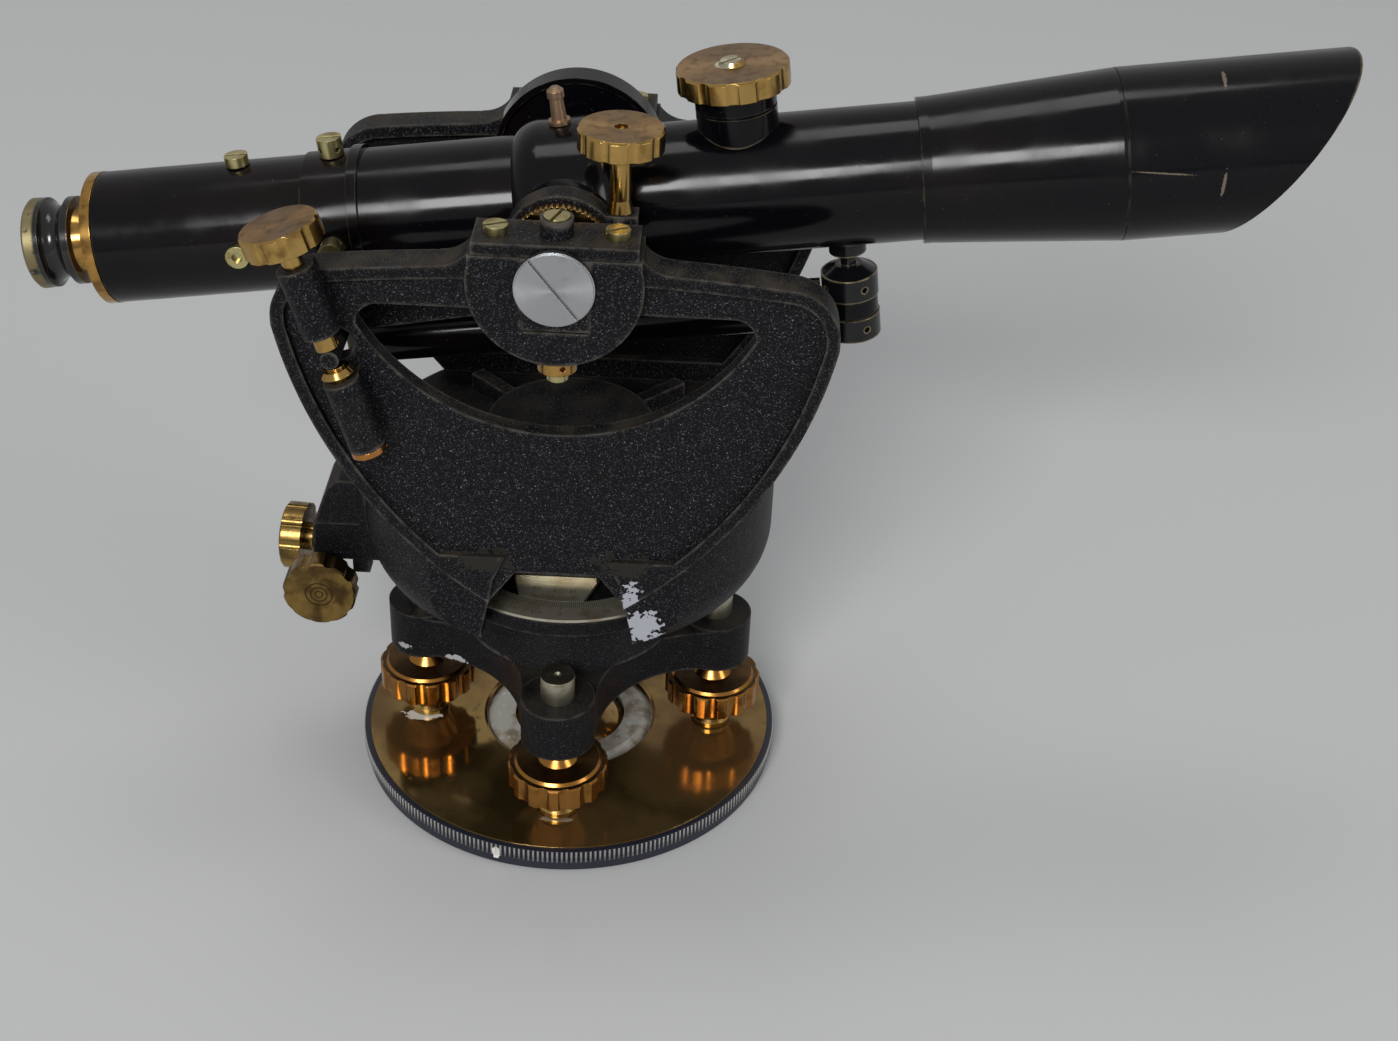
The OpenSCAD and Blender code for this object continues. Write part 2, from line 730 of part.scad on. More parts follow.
module bearing_blocks() {
  gap = 0.06;
  color("#2e2e2f") both_sides() difference() {
    translate([-block_w / 2 + gap, -boss_face_y, block_z + 0.5])
      cube([block_w - 2 * gap, boss_face_y - boss_back_y, cap_seat_z - block_z - 0.6]);
    translate([0, -boss_face_y - 1, axis_z]) along_y() cylinder(r = journal_r + run_fit, h = 20);
  }
}

module bearing_caps() {
  color("#2c2c2d") both_sides() difference() {
    union() {
      translate([-cap_half_w, -boss_face_y + 0.7, cap_seat_z])
        cube([2 * cap_half_w, boss_face_y - boss_back_y - 1.2, bearing_cap_t]);
      translate([0, -boss_mid_y, cap_seat_z]) cylinder(r = 3.9, h = bearing_cap_t + 4.4);
    }
    at_cap_screws() translate([0, 0, -1]) cylinder(r = 1.8 + seat_gap, h = 20);
    translate([0, -boss_mid_y, cap_seat_z - 1]) cylinder(r = 1.8 + seat_gap, h = 20);
    translate([0, -boss_mid_y, cap_seat_z + bearing_cap_t + 3]) cylinder(r = 3.2, h = 20);
  }
}

module cap_screws() {
  color("#b59a45") both_sides() {
    at_cap_screws() {
      translate([0, 0, bearing_cap_t]) rotate(25) slotted_head(2.9, 2);
      translate([0, 0, -5]) cylinder(r = 1.8, h = 5 + bearing_cap_t + e);
    }
    translate([0, -boss_mid_y, cap_seat_z + bearing_cap_t + 3]) rotate(70) slotted_head(3.1, 1.8);
    translate([0, -boss_mid_y, cap_seat_z + 0.2]) cylinder(r = 1.8, h = bearing_cap_t + 2.8 + e);
  }
}

// Capstan nut and screw under each bearing, which raise the block
module bearing_adjusters() {
  foot_z = axis_z - bearing_r;
  color("#b98a34") both_sides() translate([0, -boss_mid_y, 0]) difference() {
    union() {
      translate([0, 0, foot_z - 4.4]) cylinder(r = 4.75, h = 4.1);
      translate([0, 0, foot_z - 7.2]) cylinder(r = 2.6, h = 3);
      translate([0, 0, foot_z - 1]) cylinder(r = 2, h = block_z + 0.2 - foot_z + 1);
    }
    for (a = [20, 110, 200, 290])
      translate([0, 0, foot_z - 2.4]) rotate([0, 90, a]) translate([0, 0, 2.8]) cylinder(r = 0.7, h = 4);
    translate([-4, -0.4, foot_z - 8]) cube([8, 0.8, 1.6]);
  }
}

module trunnion_covers() {
  cover_t = 1.9;
  color("#b7b8ba") both_sides() translate([0, -boss_face_y - cover_t, axis_z]) difference() {
    along_y() union() {
      cylinder(r = 9.1, h = cover_t - 0.02);
      translate([0, 0, 0.5]) cylinder(r = 9.4, h = cover_t - 0.52);
    }
    rotate([0, 52, 0]) translate([-12, -1, -0.35]) cube([24, 1.8, 0.7]);
  }
}

module tangent_end_cap() {
  color("#b06a2c") on_tangent() translate([0, 0, lower_t + lower_l]) difference() {
    union() {
      translate([0, 0, -2.4]) cylinder(r = barrel_v_r - 1.25, h = 2.5);
      translate([0, 0, 0.02]) cylinder(r = barrel_v_r, h = 1.5);
    }
    translate([-8, -0.4, 1]) cube([16, 0.8, 2]);
  }
}

// Flat drum on the back bearing that encloses the vertical circle
module circle_guard() {
  y0 = guard_y0;
  color("#1b1b1c") translate([0, 0, axis_z]) difference() {
    union() {
      translate([0, y0, 0]) along_y() cylinder(r = guard_r, h = guard_t, $fn = 96);
      translate([0, y0 + guard_t - 1, 0]) along_y() cylinder(r = 15, h = boss_back_y - 0.02 - y0 - guard_t + 1);
    }
    translate([0, y0 - 1, 0]) along_y() cylinder(r = guard_r - 1.6, h = 2.3, $fn = 96);
    translate([0, y0 + 2.4, 0]) along_y() cylinder(r = guard_r - 1.6, h = guard_t - 3.8, $fn = 96);
    translate([0, y0 - 1, 0]) along_y() cylinder(r = trunnion_r + 1.2, h = 20);
  }
}

// Bracket on the bowl's left side, with an ear each side of the clamp arm
module horizontal_bracket() {
  low = bowl_z + 1.2;
  mid = bowl_z + 12;
  ear_z = h_clamp_z - 3.8;
  outer = -h_tangent_x - 3.3;
  inner = -bowl_r + 8;
  color("#2b2b2c") difference() {
    union() {
      translate([0, 6, 0]) rotate([90, 0, 0]) linear_extrude(16)
        polygon([[inner, bowl_z + 26], [outer + 8.3, bowl_z + 26.6], [outer + 5, bowl_z + 24],
          [outer + 0.6, mid], [outer, low], [inner, low]]);
      translate([0, 20.6, 0]) rotate([90, 0, 0]) linear_extrude(30.6)
        polygon([[inner, mid + 2], [outer + 1.7, mid + 2], [outer + 0.6, mid], [outer, low], [inner, low]]);
      for (y = [-10, 15.6]) translate([outer, y, ear_z]) cube([7, 5, low - ear_z + 1]);
      translate([outer + 10.7, -10, h_clamp_z - 0.2]) cube([4.6, 5, low - h_clamp_z + 1.2]);
    }
    bowl_form(seat_gap);
    translate([outer - 5.3, -10.2, mid + 0.8]) cube([18.5, 0.5, 0.5]);
    for (y = [-11, 14])
      translate([-h_tangent_x, y, h_clamp_z]) along_y() cylinder(r = guide_r + run_fit, h = 8);
  }
}

// ---- horizontal clamp and tangent ----

module on_clamp_arm() rotate(180 - h_clamp_turn) children();

// Ring round the carrier's hub, with an arm under the bowl that holds the clamp screw
module horizontal_clamp_arm() {
  color("#313132") difference() {
    union() {
      translate([0, 0, h_clamp_z - arm_h / 2]) cylinder(r = carrier_hub_r + 5, h = arm_h);
      on_clamp_arm() translate([carrier_hub_r + 2, -arm_w / 2, h_clamp_z - arm_h / 2])
        cube([h_arm_end - carrier_hub_r - 2, arm_w, arm_h]);
    }
    translate([0, 0, h_clamp_z - 10]) cylinder(r = carrier_hub_r + run_fit, h = 20);
    on_clamp_arm() translate([0, 0, h_clamp_z]) along_x() cylinder(r = h_screw_r + run_fit, h = 100);
  }
}

module horizontal_clamp_screw() {
  color("#9c7733") on_clamp_arm() translate([0, 0, h_clamp_z]) {
    translate([carrier_hub_r + 0.6, 0, 0]) along_x() cylinder(r = h_screw_r, h = h_arm_end + 3 - carrier_hub_r);
    translate([h_arm_end + 0.5, 0, 0]) along_x() cylinder(r = 4, h = 3);
    translate([h_arm_end + 2.6, 0, 0]) along_x() fluted(h_knob_r, 6, 10, 0.6, 0.5);
  }
}

// Distance from the X axis at which a face of the clamp arm crosses the tangent axis
function arm_face(side) =
  h_tangent_x * tan(h_clamp_turn) + side * (arm_w / 2 / cos(h_clamp_turn) + guide_r * tan(h_clamp_turn));

module horizontal_thrust_pin() {
  color("#b08a3e") translate([-h_tangent_x, -8, h_clamp_z]) along_y()
    cylinder(r = guide_r, h = 8 + arm_face(-1) - 0.3);
}

module horizontal_tangent_screw() {
  color("#9c7733") translate([-h_tangent_x, 0, h_clamp_z]) {
    translate([0, -15, 0]) along_y() cylinder(r = guide_r, h = 5.8);
    translate([0, -15.6, 0]) along_y() cylinder(r = 4.2, h = 5.2);
    translate([0, -15.5, 0]) rotate([180, 0, 0]) along_y() fluted(h_knob_r + 0.4, 6, 10, 0.6, 0.5);
  }
}

module horizontal_plunger() {
  color("#b08a3e") translate([-h_tangent_x, arm_face(1) + 0.3, h_clamp_z]) along_y() {
    cylinder(r = guide_r, h = 22.4 - arm_face(1));
    translate([0, 0, 22.2 - arm_face(1)]) cylinder(r = 3.6, h = 2);
  }
}

// ---- vertical clamp and tangent ----

// Collar round the trunnion, with an arm to the stud between the tangent screw and its plunger
module vertical_clamp_arm() {
  mid_y = -collar_y0 + collar_l / 2;
  color("#303031") difference() {
    union() {
      translate([0, -collar_y0, axis_z]) along_y() cylinder(r = collar_r, h = collar_l);
      translate([stud_x, -collar_y0, stud_z]) rotate([0, -arm_rise, 0]) {
        translate([0, 0, -arm_down]) cube([-stud_x, 4.6, arm_up + arm_down]);
        along_y() cylinder(r = arm_down, h = 4.6);
        translate([0, 4, 0]) along_y() mirror([0, 0, 1]) cylinder(r = pin_r, h = tangent_y - collar_y0 + 6.4);
      }
      translate([8, -collar_y0, axis_z - 7]) cube([clamp_x + 4.4 - 8, collar_l, clamp_lug_z + 7]);
    }
    translate([0, -collar_y0 - 1, axis_z]) along_y() cylinder(r = trunnion_r + run_fit, h = collar_l + 2);
    translate([4, -collar_y0 - 1, axis_z - 0.5]) cube([20, collar_l + 2, 1]);
    translate([clamp_x, mid_y, axis_z - 10]) cylinder(r = clamp_screw_r + run_fit, h = 40);
  }
}

module vertical_clamp_screw() {
  clamp_knob_z = 25.6;
  clamp_nut_l = 3.5;
  color("#b98a34") translate([clamp_x, -collar_y0 + collar_l / 2, axis_z]) {
    translate([0, 0, -8]) cylinder(r = clamp_screw_r, h = clamp_knob_z + 9);
    translate([0, 0, clamp_lug_z + 0.35]) cylinder(r1 = clamp_nut_r, r2 = clamp_screw_r + 0.3, h = clamp_nut_l);
    translate([0, 0, clamp_lug_z + clamp_nut_l])
      cylinder(r = clamp_screw_r + 0.4, h = clamp_knob_z - clamp_lug_z - clamp_nut_l + 1);
    translate([0, 0, clamp_knob_z]) difference() {
      fluted(10.2, 5, 10, 0.5, 0.42);
      translate([0, 0, 3.8]) cylinder(r = 1.6, h = 3);
    }
  }
}

module vertical_thrust_pin() {
  color("#b08a3e") on_tangent() difference() {
    union() {
      translate([0, 0, -12]) cylinder(r = guide_r, h = 8);
      translate([0, 0, -6.1]) cylinder(r = nut_r, h = 6.1 - pin_r - 0.3);
    }
    translate([-6, -0.45, -3.6]) cube([12, 0.9, 3]);
  }
}

module vertical_tangent_screw() {
  color("#b98a34") on_tangent() {
    translate([0, 0, -31]) cylinder(r = guide_r, h = 17.3);
    translate([0, 0, upper_t - 4.6]) cylinder(r = 2.5, h = 4.4);
    translate([0, 0, -29.4]) cylinder(r = 3.4, h = 2.4);
    translate([0, 0, -29.2]) mirror([0, 0, 1]) fluted(tangent_knob_r, 5.4, 10, 0.5, 0.45);
  }
}

module vertical_plunger() {
  color("#b08a3e") on_tangent() union() {
    translate([0, 0, pin_r + 0.3]) cylinder(r = guide_r, h = 12);
    translate([0, 0, 3.1]) cylinder(r1 = 3.2, r2 = barrel_v_r - 0.2, h = 1.4);
    translate([0, 0, 12.4]) cylinder(r = barrel_v_r - 1.35, h = 2.2);
  }
}

// Coil behind the plunger: a wire swept along a helix
module plunger_spring() {
  turns = 4;
  steps = 20;
  wire = 0.4;
  coil_r = 2.5;
  pitch = 1.6;
  n = turns * steps;
  sides = 6;
  points = [for (i = [0:n], j = [0:sides - 1])
    let (a = i * 360 / steps, b = j * 360 / sides, r = coil_r + wire * cos(b))
      [r * cos(a), r * sin(a), pitch * i / steps + wire * sin(b)]];
  walls = [for (i = [0:n - 1], j = [0:sides - 1])
    let (k = (j + 1) % sides) [i * sides + j, i * sides + k, (i + 1) * sides + k, (i + 1) * sides + j]];
  ends = [[for (j = [0:sides - 1]) sides - 1 - j], [for (j = [0:sides - 1]) n * sides + j]];
  color("#8f8f8f") on_tangent() translate([0, 0, 15.3]) polyhedron(points, concat(walls, ends), convexity = 6);
}

// ---- telescope ----

// Rounded hub in the middle of the tube
module hub_profile() {
  r = 8;
  intersection() {
    translate([0, -barrel_l / 2]) square([barrel_r, barrel_l]);
    union() {
      translate([0, -barrel_l / 2]) square([barrel_r - r, barrel_l]);
      translate([0, -barrel_l / 2 + r]) square([barrel_r, barrel_l - 2 * r]);
      for (k = [-1, 1]) translate([barrel_r - r, k * (barrel_l / 2 - r)]) circle(r = r);
    }
  }
}

module telescope_barrel() {
  color("#141416") difference() {
    union() {
      on_tube(-flange_s) cylinder(r = tube_r, h = flange_s + cone_s);
      on_tube(-flange_s) cylinder(r = tube_r + 1, h = 2.6);
      on_tube(0) rotate_extrude($fn = 96) hub_profile();
      on_telescope() translate([0, -hub_y, 0]) along_y() cylinder(r = 12.5, h = 2 * hub_y);
    }
    on_tube(-flange_s - 3) cylinder(r = tube_r - tube_wall, h = flange_s + cone_s + 4);
    on_telescope() translate([0, -50, 0]) along_y() cylinder(r = journal_r + seat_gap, h = 100);
    on_telescope() translate([focus_s, 0, 0]) cylinder(r = 5 + run_fit, h = 40);
    on_telescope() cylinder(r = 1.6 + seat_gap, h = 40);
  }
}

// Two half axles with a broad seat for the clamp and the circle
module trunnion_axle() {
  inner_y = tube_r - tube_wall - 0.6;
  color("#9c9a92") on_telescope() both_sides() union() {
    translate([0, -boss_face_y + 0.5, 0]) along_y()
      cylinder(r = journal_r, h = boss_face_y - 0.5 - inner_y - 0.8);
    translate([0, -boss_back_y + 0.6, 0]) along_y() cylinder(r = trunnion_r, h = boss_back_y - 0.62 - hub_y);
  }
}

module trunnion_ring() {
  color("#b98a34") translate([0, -boss_back_y + 0.9, axis_z]) along_y() difference() {
    fluted(12.8, 3, 60, 0.3);
    translate([0, 0, -1]) cylinder(r = trunnion_r + 0.03, h = 5);
  }
}

module vertical_circle() {
  y0 = guard_y0 + 3.5;
  color("#c9c5b4") difference() {
    translate([0, y0, axis_z]) along_y() cylinder(r = guard_r - 2.6, h = 1.2);
    translate([0, y0 - 1, axis_z]) along_y() cylinder(r = trunnion_r + 0.03, h = 4);
  }
}

module objective_cone() {
  seam = cone_s + 0.02;
  wall = tube_wall;
  color("#141416") difference() {
    union() {
      on_tube(seam) cylinder(r = tube_r + 0.9, h = 2.5);
      on_tube(seam + 2.4) cylinder(r1 = tube_r + 0.9, r2 = shade_r - 0.1, h = shade_s - seam - 2.4 - 1);
      on_tube(shade_s - 1.1) cylinder(r = shade_r - 0.1, h = 1);
      on_tube(shade_s - 0.2) cylinder(r = shade_r - wall - run_fit, h = 9);
    }
    on_tube(seam - 1) cylinder(r = tube_r - wall, h = shade_s - seam + 12);
    on_tube(shade_s - 3) cylinder(r = shade_r - 2 * wall - 0.4, h = 14);
  }
}

module objective_lens() {
  color("#9fb4c8", 0.5) on_tube(shade_s - 2.9) {
    intersection() {
      cylinder(r = shade_r - 2 * tube_wall - 0.45, h = 8.6);
      translate([0, 0, -44]) sphere(r = 52, $fn = 96);
    }
  }
}

module eyepiece_tube() {
  color("#141416") difference() {
    union() {
      on_tube(-flange_s - 0.02 - eye_ring_l) cylinder(r = eye_ring_r, h = eye_ring_l);
      on_tube(eye_s) cylinder(r = eye_tube_r, h = eye_tube_l);
    }
    on_tube(eye_s - 2) cylinder(r = eye_tube_r - tube_wall, h = eye_tube_l + eye_ring_l + 4);
    on_tube(reticle_s) for (a = [0:90:270]) rotate(a) rotate([0, 90, 0]) cylinder(r = 1.2 + seat_gap, h = 40);
    for (a = [180, 270]) on_tube(stop_s) rotate(a) rotate([0, 90, 0]) cylinder(r = 1.4 + seat_gap, h = 40);
  }
}

module reticle() {
  color("#b08a3e") on_tube(reticle_s - 2.4) ring(11.5, 7, 4.8);
}

module eyepiece_screws() {
  reticle_screws();
  guide_screws();
}

// Four capstan screws that hold and centre the reticle
module reticle_screws() {
  color("#b59a45") on_tube(reticle_s) for (a = [0:90:270]) rotate(a) rotate([0, 90, 0]) {
    translate([0, 0, 11.55]) cylinder(r = 1.2, h = eye_tube_r + 0.8 - 11.55);
    translate([0, 0, eye_tube_r + 0.7]) difference() {
      cylinder(r = reticle_head_r, h = 4.6);
      translate([-4, -0.4, 3.8]) cube([8, 0.8, 2]);
      for (b = [45, 135]) rotate(b) translate([-5, 0, 1.9]) along_x() cylinder(r = 0.6, h = 10);
    }
  }
}

module sight_post() {
  head_z = barrel_r + 6.6;
  color("#a8824a") on_telescope() union() {
    translate([0, 0, tube_r - 1]) cylinder(r = 1.6, h = 8);
    translate([0, 0, barrel_r + 0.03]) cylinder(r = 2.7, h = 1);
    translate([0, 0, barrel_r + 1]) cylinder(r1 = 1.9, r2 = 1.6, h = head_z - barrel_r - 0.5);
    translate([0, 0, head_z]) cylinder(r = 2.05, h = 1.8);
    translate([0, 0, head_z + 1.8]) cylinder(r1 = 2.05, r2 = 1, h = 0.9);
  }
}

// ---- focusing ----

pinion_teeth = 10;
pinion_m = 0.8;
pinion_r = pinion_teeth * pinion_m / 2;
rack_pitch = PI * pinion_m;
gear_z = tube_r - tube_wall - 6;
cell_l = 38;
focus_stem_r = 9.9;

module pinion_outline() {
  step = 360 / pinion_teeth;
  polygon([for (i = [0:pinion_teeth - 1], p = [[-0.30, -0.9], [-0.12, 0.7], [0.12, 0.7], [0.30, -0.9]])
    let (a = (i + p[0]) * step, r = pinion_r + p[1]) [r * cos(a), r * sin(a)]]);
}

module focus_stem() {
  color("#17171a") on_telescope() translate([focus_s, 0, 0]) difference() {
    union() {
      translate([0, 0, tube_r - 2.6]) cylinder(r = 5, h = 6);
      difference() {
        translate([0, 0, 6]) cylinder(r = focus_stem_r, h = focus_top - 5.6 - 6);
        translate([-20, 0, 0]) along_x() cylinder(r = tube_r + 0.05, h = 40, $fn = 96);
      }
    }
    translate([0, 0, 20.9]) ring(focus_stem_r + 1, focus_stem_r - 0.6, 0.6);
    translate([0, 0, 0]) cylinder(r = 2.4 + run_fit, h = 40);
  }
}

module focus_knob() {
  color("#b98a34") on_telescope() translate([focus_s, 0, 0]) difference() {
    union() {
      translate([0, 0, gear_z]) linear_extrude(3.4) pinion_outline();
      translate([0, 0, gear_z + 3.3]) cylinder(r = 2.4, h = focus_top - 5 - gear_z - 3);
      translate([0, 0, focus_top - 5.2]) fluted(focus_r, 5.2, 12);
      translate([0, 0, focus_top - e]) cylinder(r1 = 3.3, r2 = 2.8, h = 1);
    }
    rotate(35) translate([-4, -0.4, focus_top + 0.4]) cube([8, 0.8, 2]);
  }
}

// Lens tube that slides in the main tube, with a rack beside the pinion
module focusing_cell() {
  r = tube_r - tube_wall - run_fit;
  rack_y = pinion_r;
  teeth = 12;
  color("#b08a3e") on_telescope() translate([focus_s, 0, 0]) union() {
    difference() {
      translate([-cell_l / 2, 0, 0]) along_x() cylinder(r = r, h = cell_l);
      translate([-cell_l / 2 - 1, 0, 0]) along_x() cylinder(r = r - 3.2, h = cell_l + 2);
      translate([-30, -7, gear_z - 0.6]) cube([60, 14, 20]);
    }
    intersection() {
      translate([-cell_l / 2, 0, 0]) along_x() cylinder(r = r, h = cell_l);
      translate([0, 0, gear_z - 0.6]) linear_extrude(3.9) rack_outline(teeth, rack_y);
    }
    translate([cell_l / 2 - 4.5, 0, 0]) along_x() ring(r - 3, r - 4.4, 4);
  }
}

module rack_outline(teeth, rack_y) {
  translate([-cell_l / 2, rack_y + 0.9]) square([cell_l, 7]);
  for (i = [-floor(teeth / 2):floor(teeth / 2)])
    translate([i * rack_pitch, rack_y])
      polygon([[-0.75, 0.95], [-0.3, -0.6], [0.3, -0.6], [0.75, 0.95]]);
}

// ---- eyepiece ----

// Screws that guide the eyepiece's inner tube
module guide_screws() {
  color("#b59a45") on_tube(stop_s) {
    rotate(180) rotate([0, 90, 0]) translate([0, 0, eye_tube_r - tube_wall + 0.1]) {
      cylinder(r = 1.4, h = 2.4);
      translate([0, 0, 1.9]) slotted_head(2.9, 2.6);
    }
    rotate(270) rotate([0, 90, 0]) translate([0, 0, eye_tube_r - tube_wall + 0.1]) {
      cylinder(r = 1.4, h = 2.4);
      translate([0, 0, 1.9]) ring(2.9, 1.3, 1.6);
    }
  }
}

module eyepiece() {
  color("#8a6a34") difference() {
    union() {
      on_tube(eye_s - 2.7) cylinder(r = eye_tube_r + 0.1, h = 2.5);
      on_tube(eye_s - 2.5) cylinder(r = eye_tube_r - tube_wall - run_fit, h = 19);
      on_tube(eye_s) rotate_extrude($fn = 96) difference() {
        polygon([[0, 0], [8.9, -2.6], [7.7, -5], [8.4, -8.2], [eyecup_r - 0.4, -8.2], [eyecup_r, -20], [0, -20]]);
        translate([eyecup_r + 0.7, -12.9]) circle(r = 3);
        translate([eyecup_r + 0.2, -21]) rotate(45) square(2.6, center = true);
      }
    }
    on_tube(eye_s - 30) cylinder(r = 5.6, h = 60);
    on_tube(eye_s - 20.1) cylinder(r1 = eyecup_r - 1.2, r2 = 5.6, h = 4);
    on_tube(eye_s - 1.2) cylinder(r = 12.6, h = 40);
  }
}

module eyepiece_lenses() {
  color("#9fb4c8", 0.5) {
    on_tube(eye_s - 13) cylinder(r = 5.55, h = 2.2);
    on_tube(eye_s - 1.15) cylinder(r = 12.55, h = 2.4);
  }
}

// Thin tube cut on the slant, which pulls off forwards
module sunshade() {
  wall = tube_wall;
  mid = (shade_long + shade_short) / 2;
  cut = atan2(shade_long - shade_short, 2 * shade_r);
  color("#121214") difference() {
    on_tube(shade_s + 0.02) cylinder(r = shade_r, h = shade_long, $fn = 96);
    on_tube(shade_s - 1) cylinder(r = shade_r - wall, h = shade_long + 2, $fn = 96);
    on_telescope() translate([shade_s + mid, 0, 0]) rotate([0, cut, 0]) translate([0, -50, -100])
      cube([100, 100, 200]);
  }
}

// ---- level under the telescope ----

module level_tube() {
  color("#19191b") on_telescope() translate([0, 0, -level_drop]) difference() {
    union() {
      translate([level_s0, 0, 0]) along_x() cylinder(r = level_r, h = level_s1 - level_s0);
      translate([level_s0 - 4, -2, -2.6]) cube([5, 4, 5.2]);
      translate([level_s1 - 1, -2.4, -2.2]) cube([post_s - level_s1 - 1, 4.8, 4.4]);
      translate([post_s, 0, -2.2]) cylinder(r = level_nut_r - 0.3, h = 4.4);
    }
    translate([level_s0 + 6, 0, 0]) along_x() cylinder(r = vial_r + seat_gap, h = level_s1 - level_s0 - 12);
    translate([-22, -2.6, 0]) cube([44, 5.2, 20]);
    translate([post_s, 0, -5]) cylinder(r = 2 + seat_gap, h = 10);
    translate([level_s0 - 2.4, -5, 0]) along_y() cylinder(r = 1 + seat_gap, h = 10);
  }
}

module level_vial() {
  color("#b9c99a", 0.5) on_telescope() translate([level_s0 + 6.2, 0, -level_drop]) along_x()
    cylinder(r = vial_r, h = level_s1 - level_s0 - 12.4);
}

// Hinge bracket at the eyepiece end, and a post with two capstan nuts at the other
module level_mounts() {
  level_brackets();
  level_nuts();
}

module level_brackets() {
  drop = -level_drop;
  color("#1c1c1e") on_telescope() {
    difference() {
      translate([level_s0 - 5.4, -5.2, drop - 2.6]) cube([5.1, 10.4, level_drop - tube_r + 8]);
      translate([level_s0 - 8, -2.1, drop - 4]) cube([12, 4.2, 10]);
      translate([level_s0 - 2.4, -6, drop]) along_y() cylinder(r = 1 + seat_gap, h = 12);
      translate([-100, 0, 0]) along_x() cylinder(r = eye_ring_r + 0.03, h = 200, $fn = 96);
      // Room for the lowest reticle screw
      translate([reticle_s, 0, -eye_tube_r - 6]) cylinder(r = reticle_head_r + 0.4, h = 20);
    }
    translate([level_s0 - 2.4, -5.2, drop]) along_y() cylinder(r = 1, h = 10.4);
    difference() {
      translate([post_s, 0, drop - 11]) cylinder(r = 2, h = level_drop + 11);
      translate([-100, 0, 0]) along_x() cylinder(r = tube_r + 0.03, h = 200, $fn = 96);
    }
    difference() {
      translate([post_s, 0, -tube_r - 3]) cylinder(r = 4.7, h = 10);
      translate([-100, 0, 0]) along_x() cylinder(r = tube_r + 0.03, h = 200, $fn = 96);
    }
  }
}

module level_nuts() {
  color("#1c1c1e") on_telescope() translate([post_s, 0, -level_drop]) {
    translate([0, 0, 2.5]) capstan_nut();
    translate([0, 0, -2.5]) mirror([0, 0, 1]) capstan_nut();
  }
}

// Nut with four pin holes round it and a tapered end
module capstan_nut() {
  h = 6.2;
  difference() {
    union() {
      cylinder(r = level_nut_r, h = h);
      translate([0, 0, h - e]) cylinder(r1 = level_nut_r - 0.5, r2 = 3.4, h = 2);
    }
    translate([0, 0, -1]) cylinder(r = 2 + seat_gap, h = h + 4);
    for (a = [30:90:300])
      translate([0, 0, h / 2]) rotate([0, 90, a]) translate([0, 0, level_nut_r - 1.8]) cylinder(r = 0.8, h = 4);
  }
}

foot_ring();
foot_plate();
plate_screws();
shifting_plate();
levelling_head();
half_ball();
dust_caps();
centre_socket();
circle_carrier();
horizontal_circle();
shoe_front();
shoe_back();
side_shoes();
levelling_screw_front();
levelling_screw_back();
levelling_screw_left();
levelling_screw_right();
alidade_bowl();
spindle();
vernier();
standard_front();
standard_back();
bearing_blocks();
bearing_caps();
cap_screws();
bearing_adjusters();
trunnion_covers();
tangent_end_cap();
circle_guard();
horizontal_bracket();
horizontal_clamp_arm();
horizontal_clamp_screw();
horizontal_thrust_pin();
horizontal_tangent_screw();
horizontal_plunger();
vertical_clamp_arm();
vertical_clamp_screw();
vertical_thrust_pin();
vertical_tangent_screw();
vertical_plunger();
plunger_spring();
telescope_barrel();
trunnion_axle();
trunnion_ring();
vertical_circle();
objective_cone();
objective_lens();
eyepiece_tube();
reticle();
eyepiece_screws();
sight_post();
focus_stem();
focus_knob();
focusing_cell();
eyepiece();
eyepiece_lenses();
sunshade();
level_tube();
level_vial();
level_mounts();
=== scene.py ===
"""Looks of an optical surveying transit: enamelled castings, black tubes, brass and silvered scales."""
import math

import bmesh
import bpy
from mathutils import Matrix, Vector


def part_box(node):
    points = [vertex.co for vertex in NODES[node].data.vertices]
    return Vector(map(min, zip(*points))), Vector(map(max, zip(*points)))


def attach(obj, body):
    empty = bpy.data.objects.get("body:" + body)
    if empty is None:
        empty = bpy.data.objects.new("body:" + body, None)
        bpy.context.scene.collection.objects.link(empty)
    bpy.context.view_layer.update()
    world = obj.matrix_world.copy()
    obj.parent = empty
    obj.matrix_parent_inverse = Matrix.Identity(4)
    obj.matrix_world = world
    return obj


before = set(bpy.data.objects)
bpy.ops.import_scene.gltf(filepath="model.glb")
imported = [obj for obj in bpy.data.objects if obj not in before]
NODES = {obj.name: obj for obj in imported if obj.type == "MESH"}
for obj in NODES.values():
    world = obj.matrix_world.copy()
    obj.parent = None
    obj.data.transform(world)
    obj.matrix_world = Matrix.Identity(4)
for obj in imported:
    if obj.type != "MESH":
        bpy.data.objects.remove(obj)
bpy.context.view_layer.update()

MM = 0.001

# Places that the CAD model fixes, in metres
AXIS_Z = sum(corner.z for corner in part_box("trunnion_covers")) / 2
TILT = math.radians(8)
CIRCLE_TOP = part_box("horizontal_circle")[1].z
CIRCLE_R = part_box("horizontal_circle")[1].x
SCALE_W = 8 * MM
SCALE_GAP = 0.35 * MM
FOOT_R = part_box("foot_ring")[1].x
FOOT_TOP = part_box("foot_ring")[1].z
ADJUSTER_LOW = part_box("bearing_adjusters")[0].z
ADJUSTER_END = 2.4 * MM
EYEPIECE_S = -116.5 * MM
TUBE_AXIS = (math.cos(TILT), 0, math.sin(TILT))
TUBE_UP = (-math.sin(TILT), 0, math.cos(TILT))
LEAN = math.radians(16.6)
TANGENT_UP = (-math.sin(LEAN), 0, math.cos(LEAN))


def middle(name):
    """The middle of a node's box."""
    low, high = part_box(name)
    return tuple((low + high) / 2)


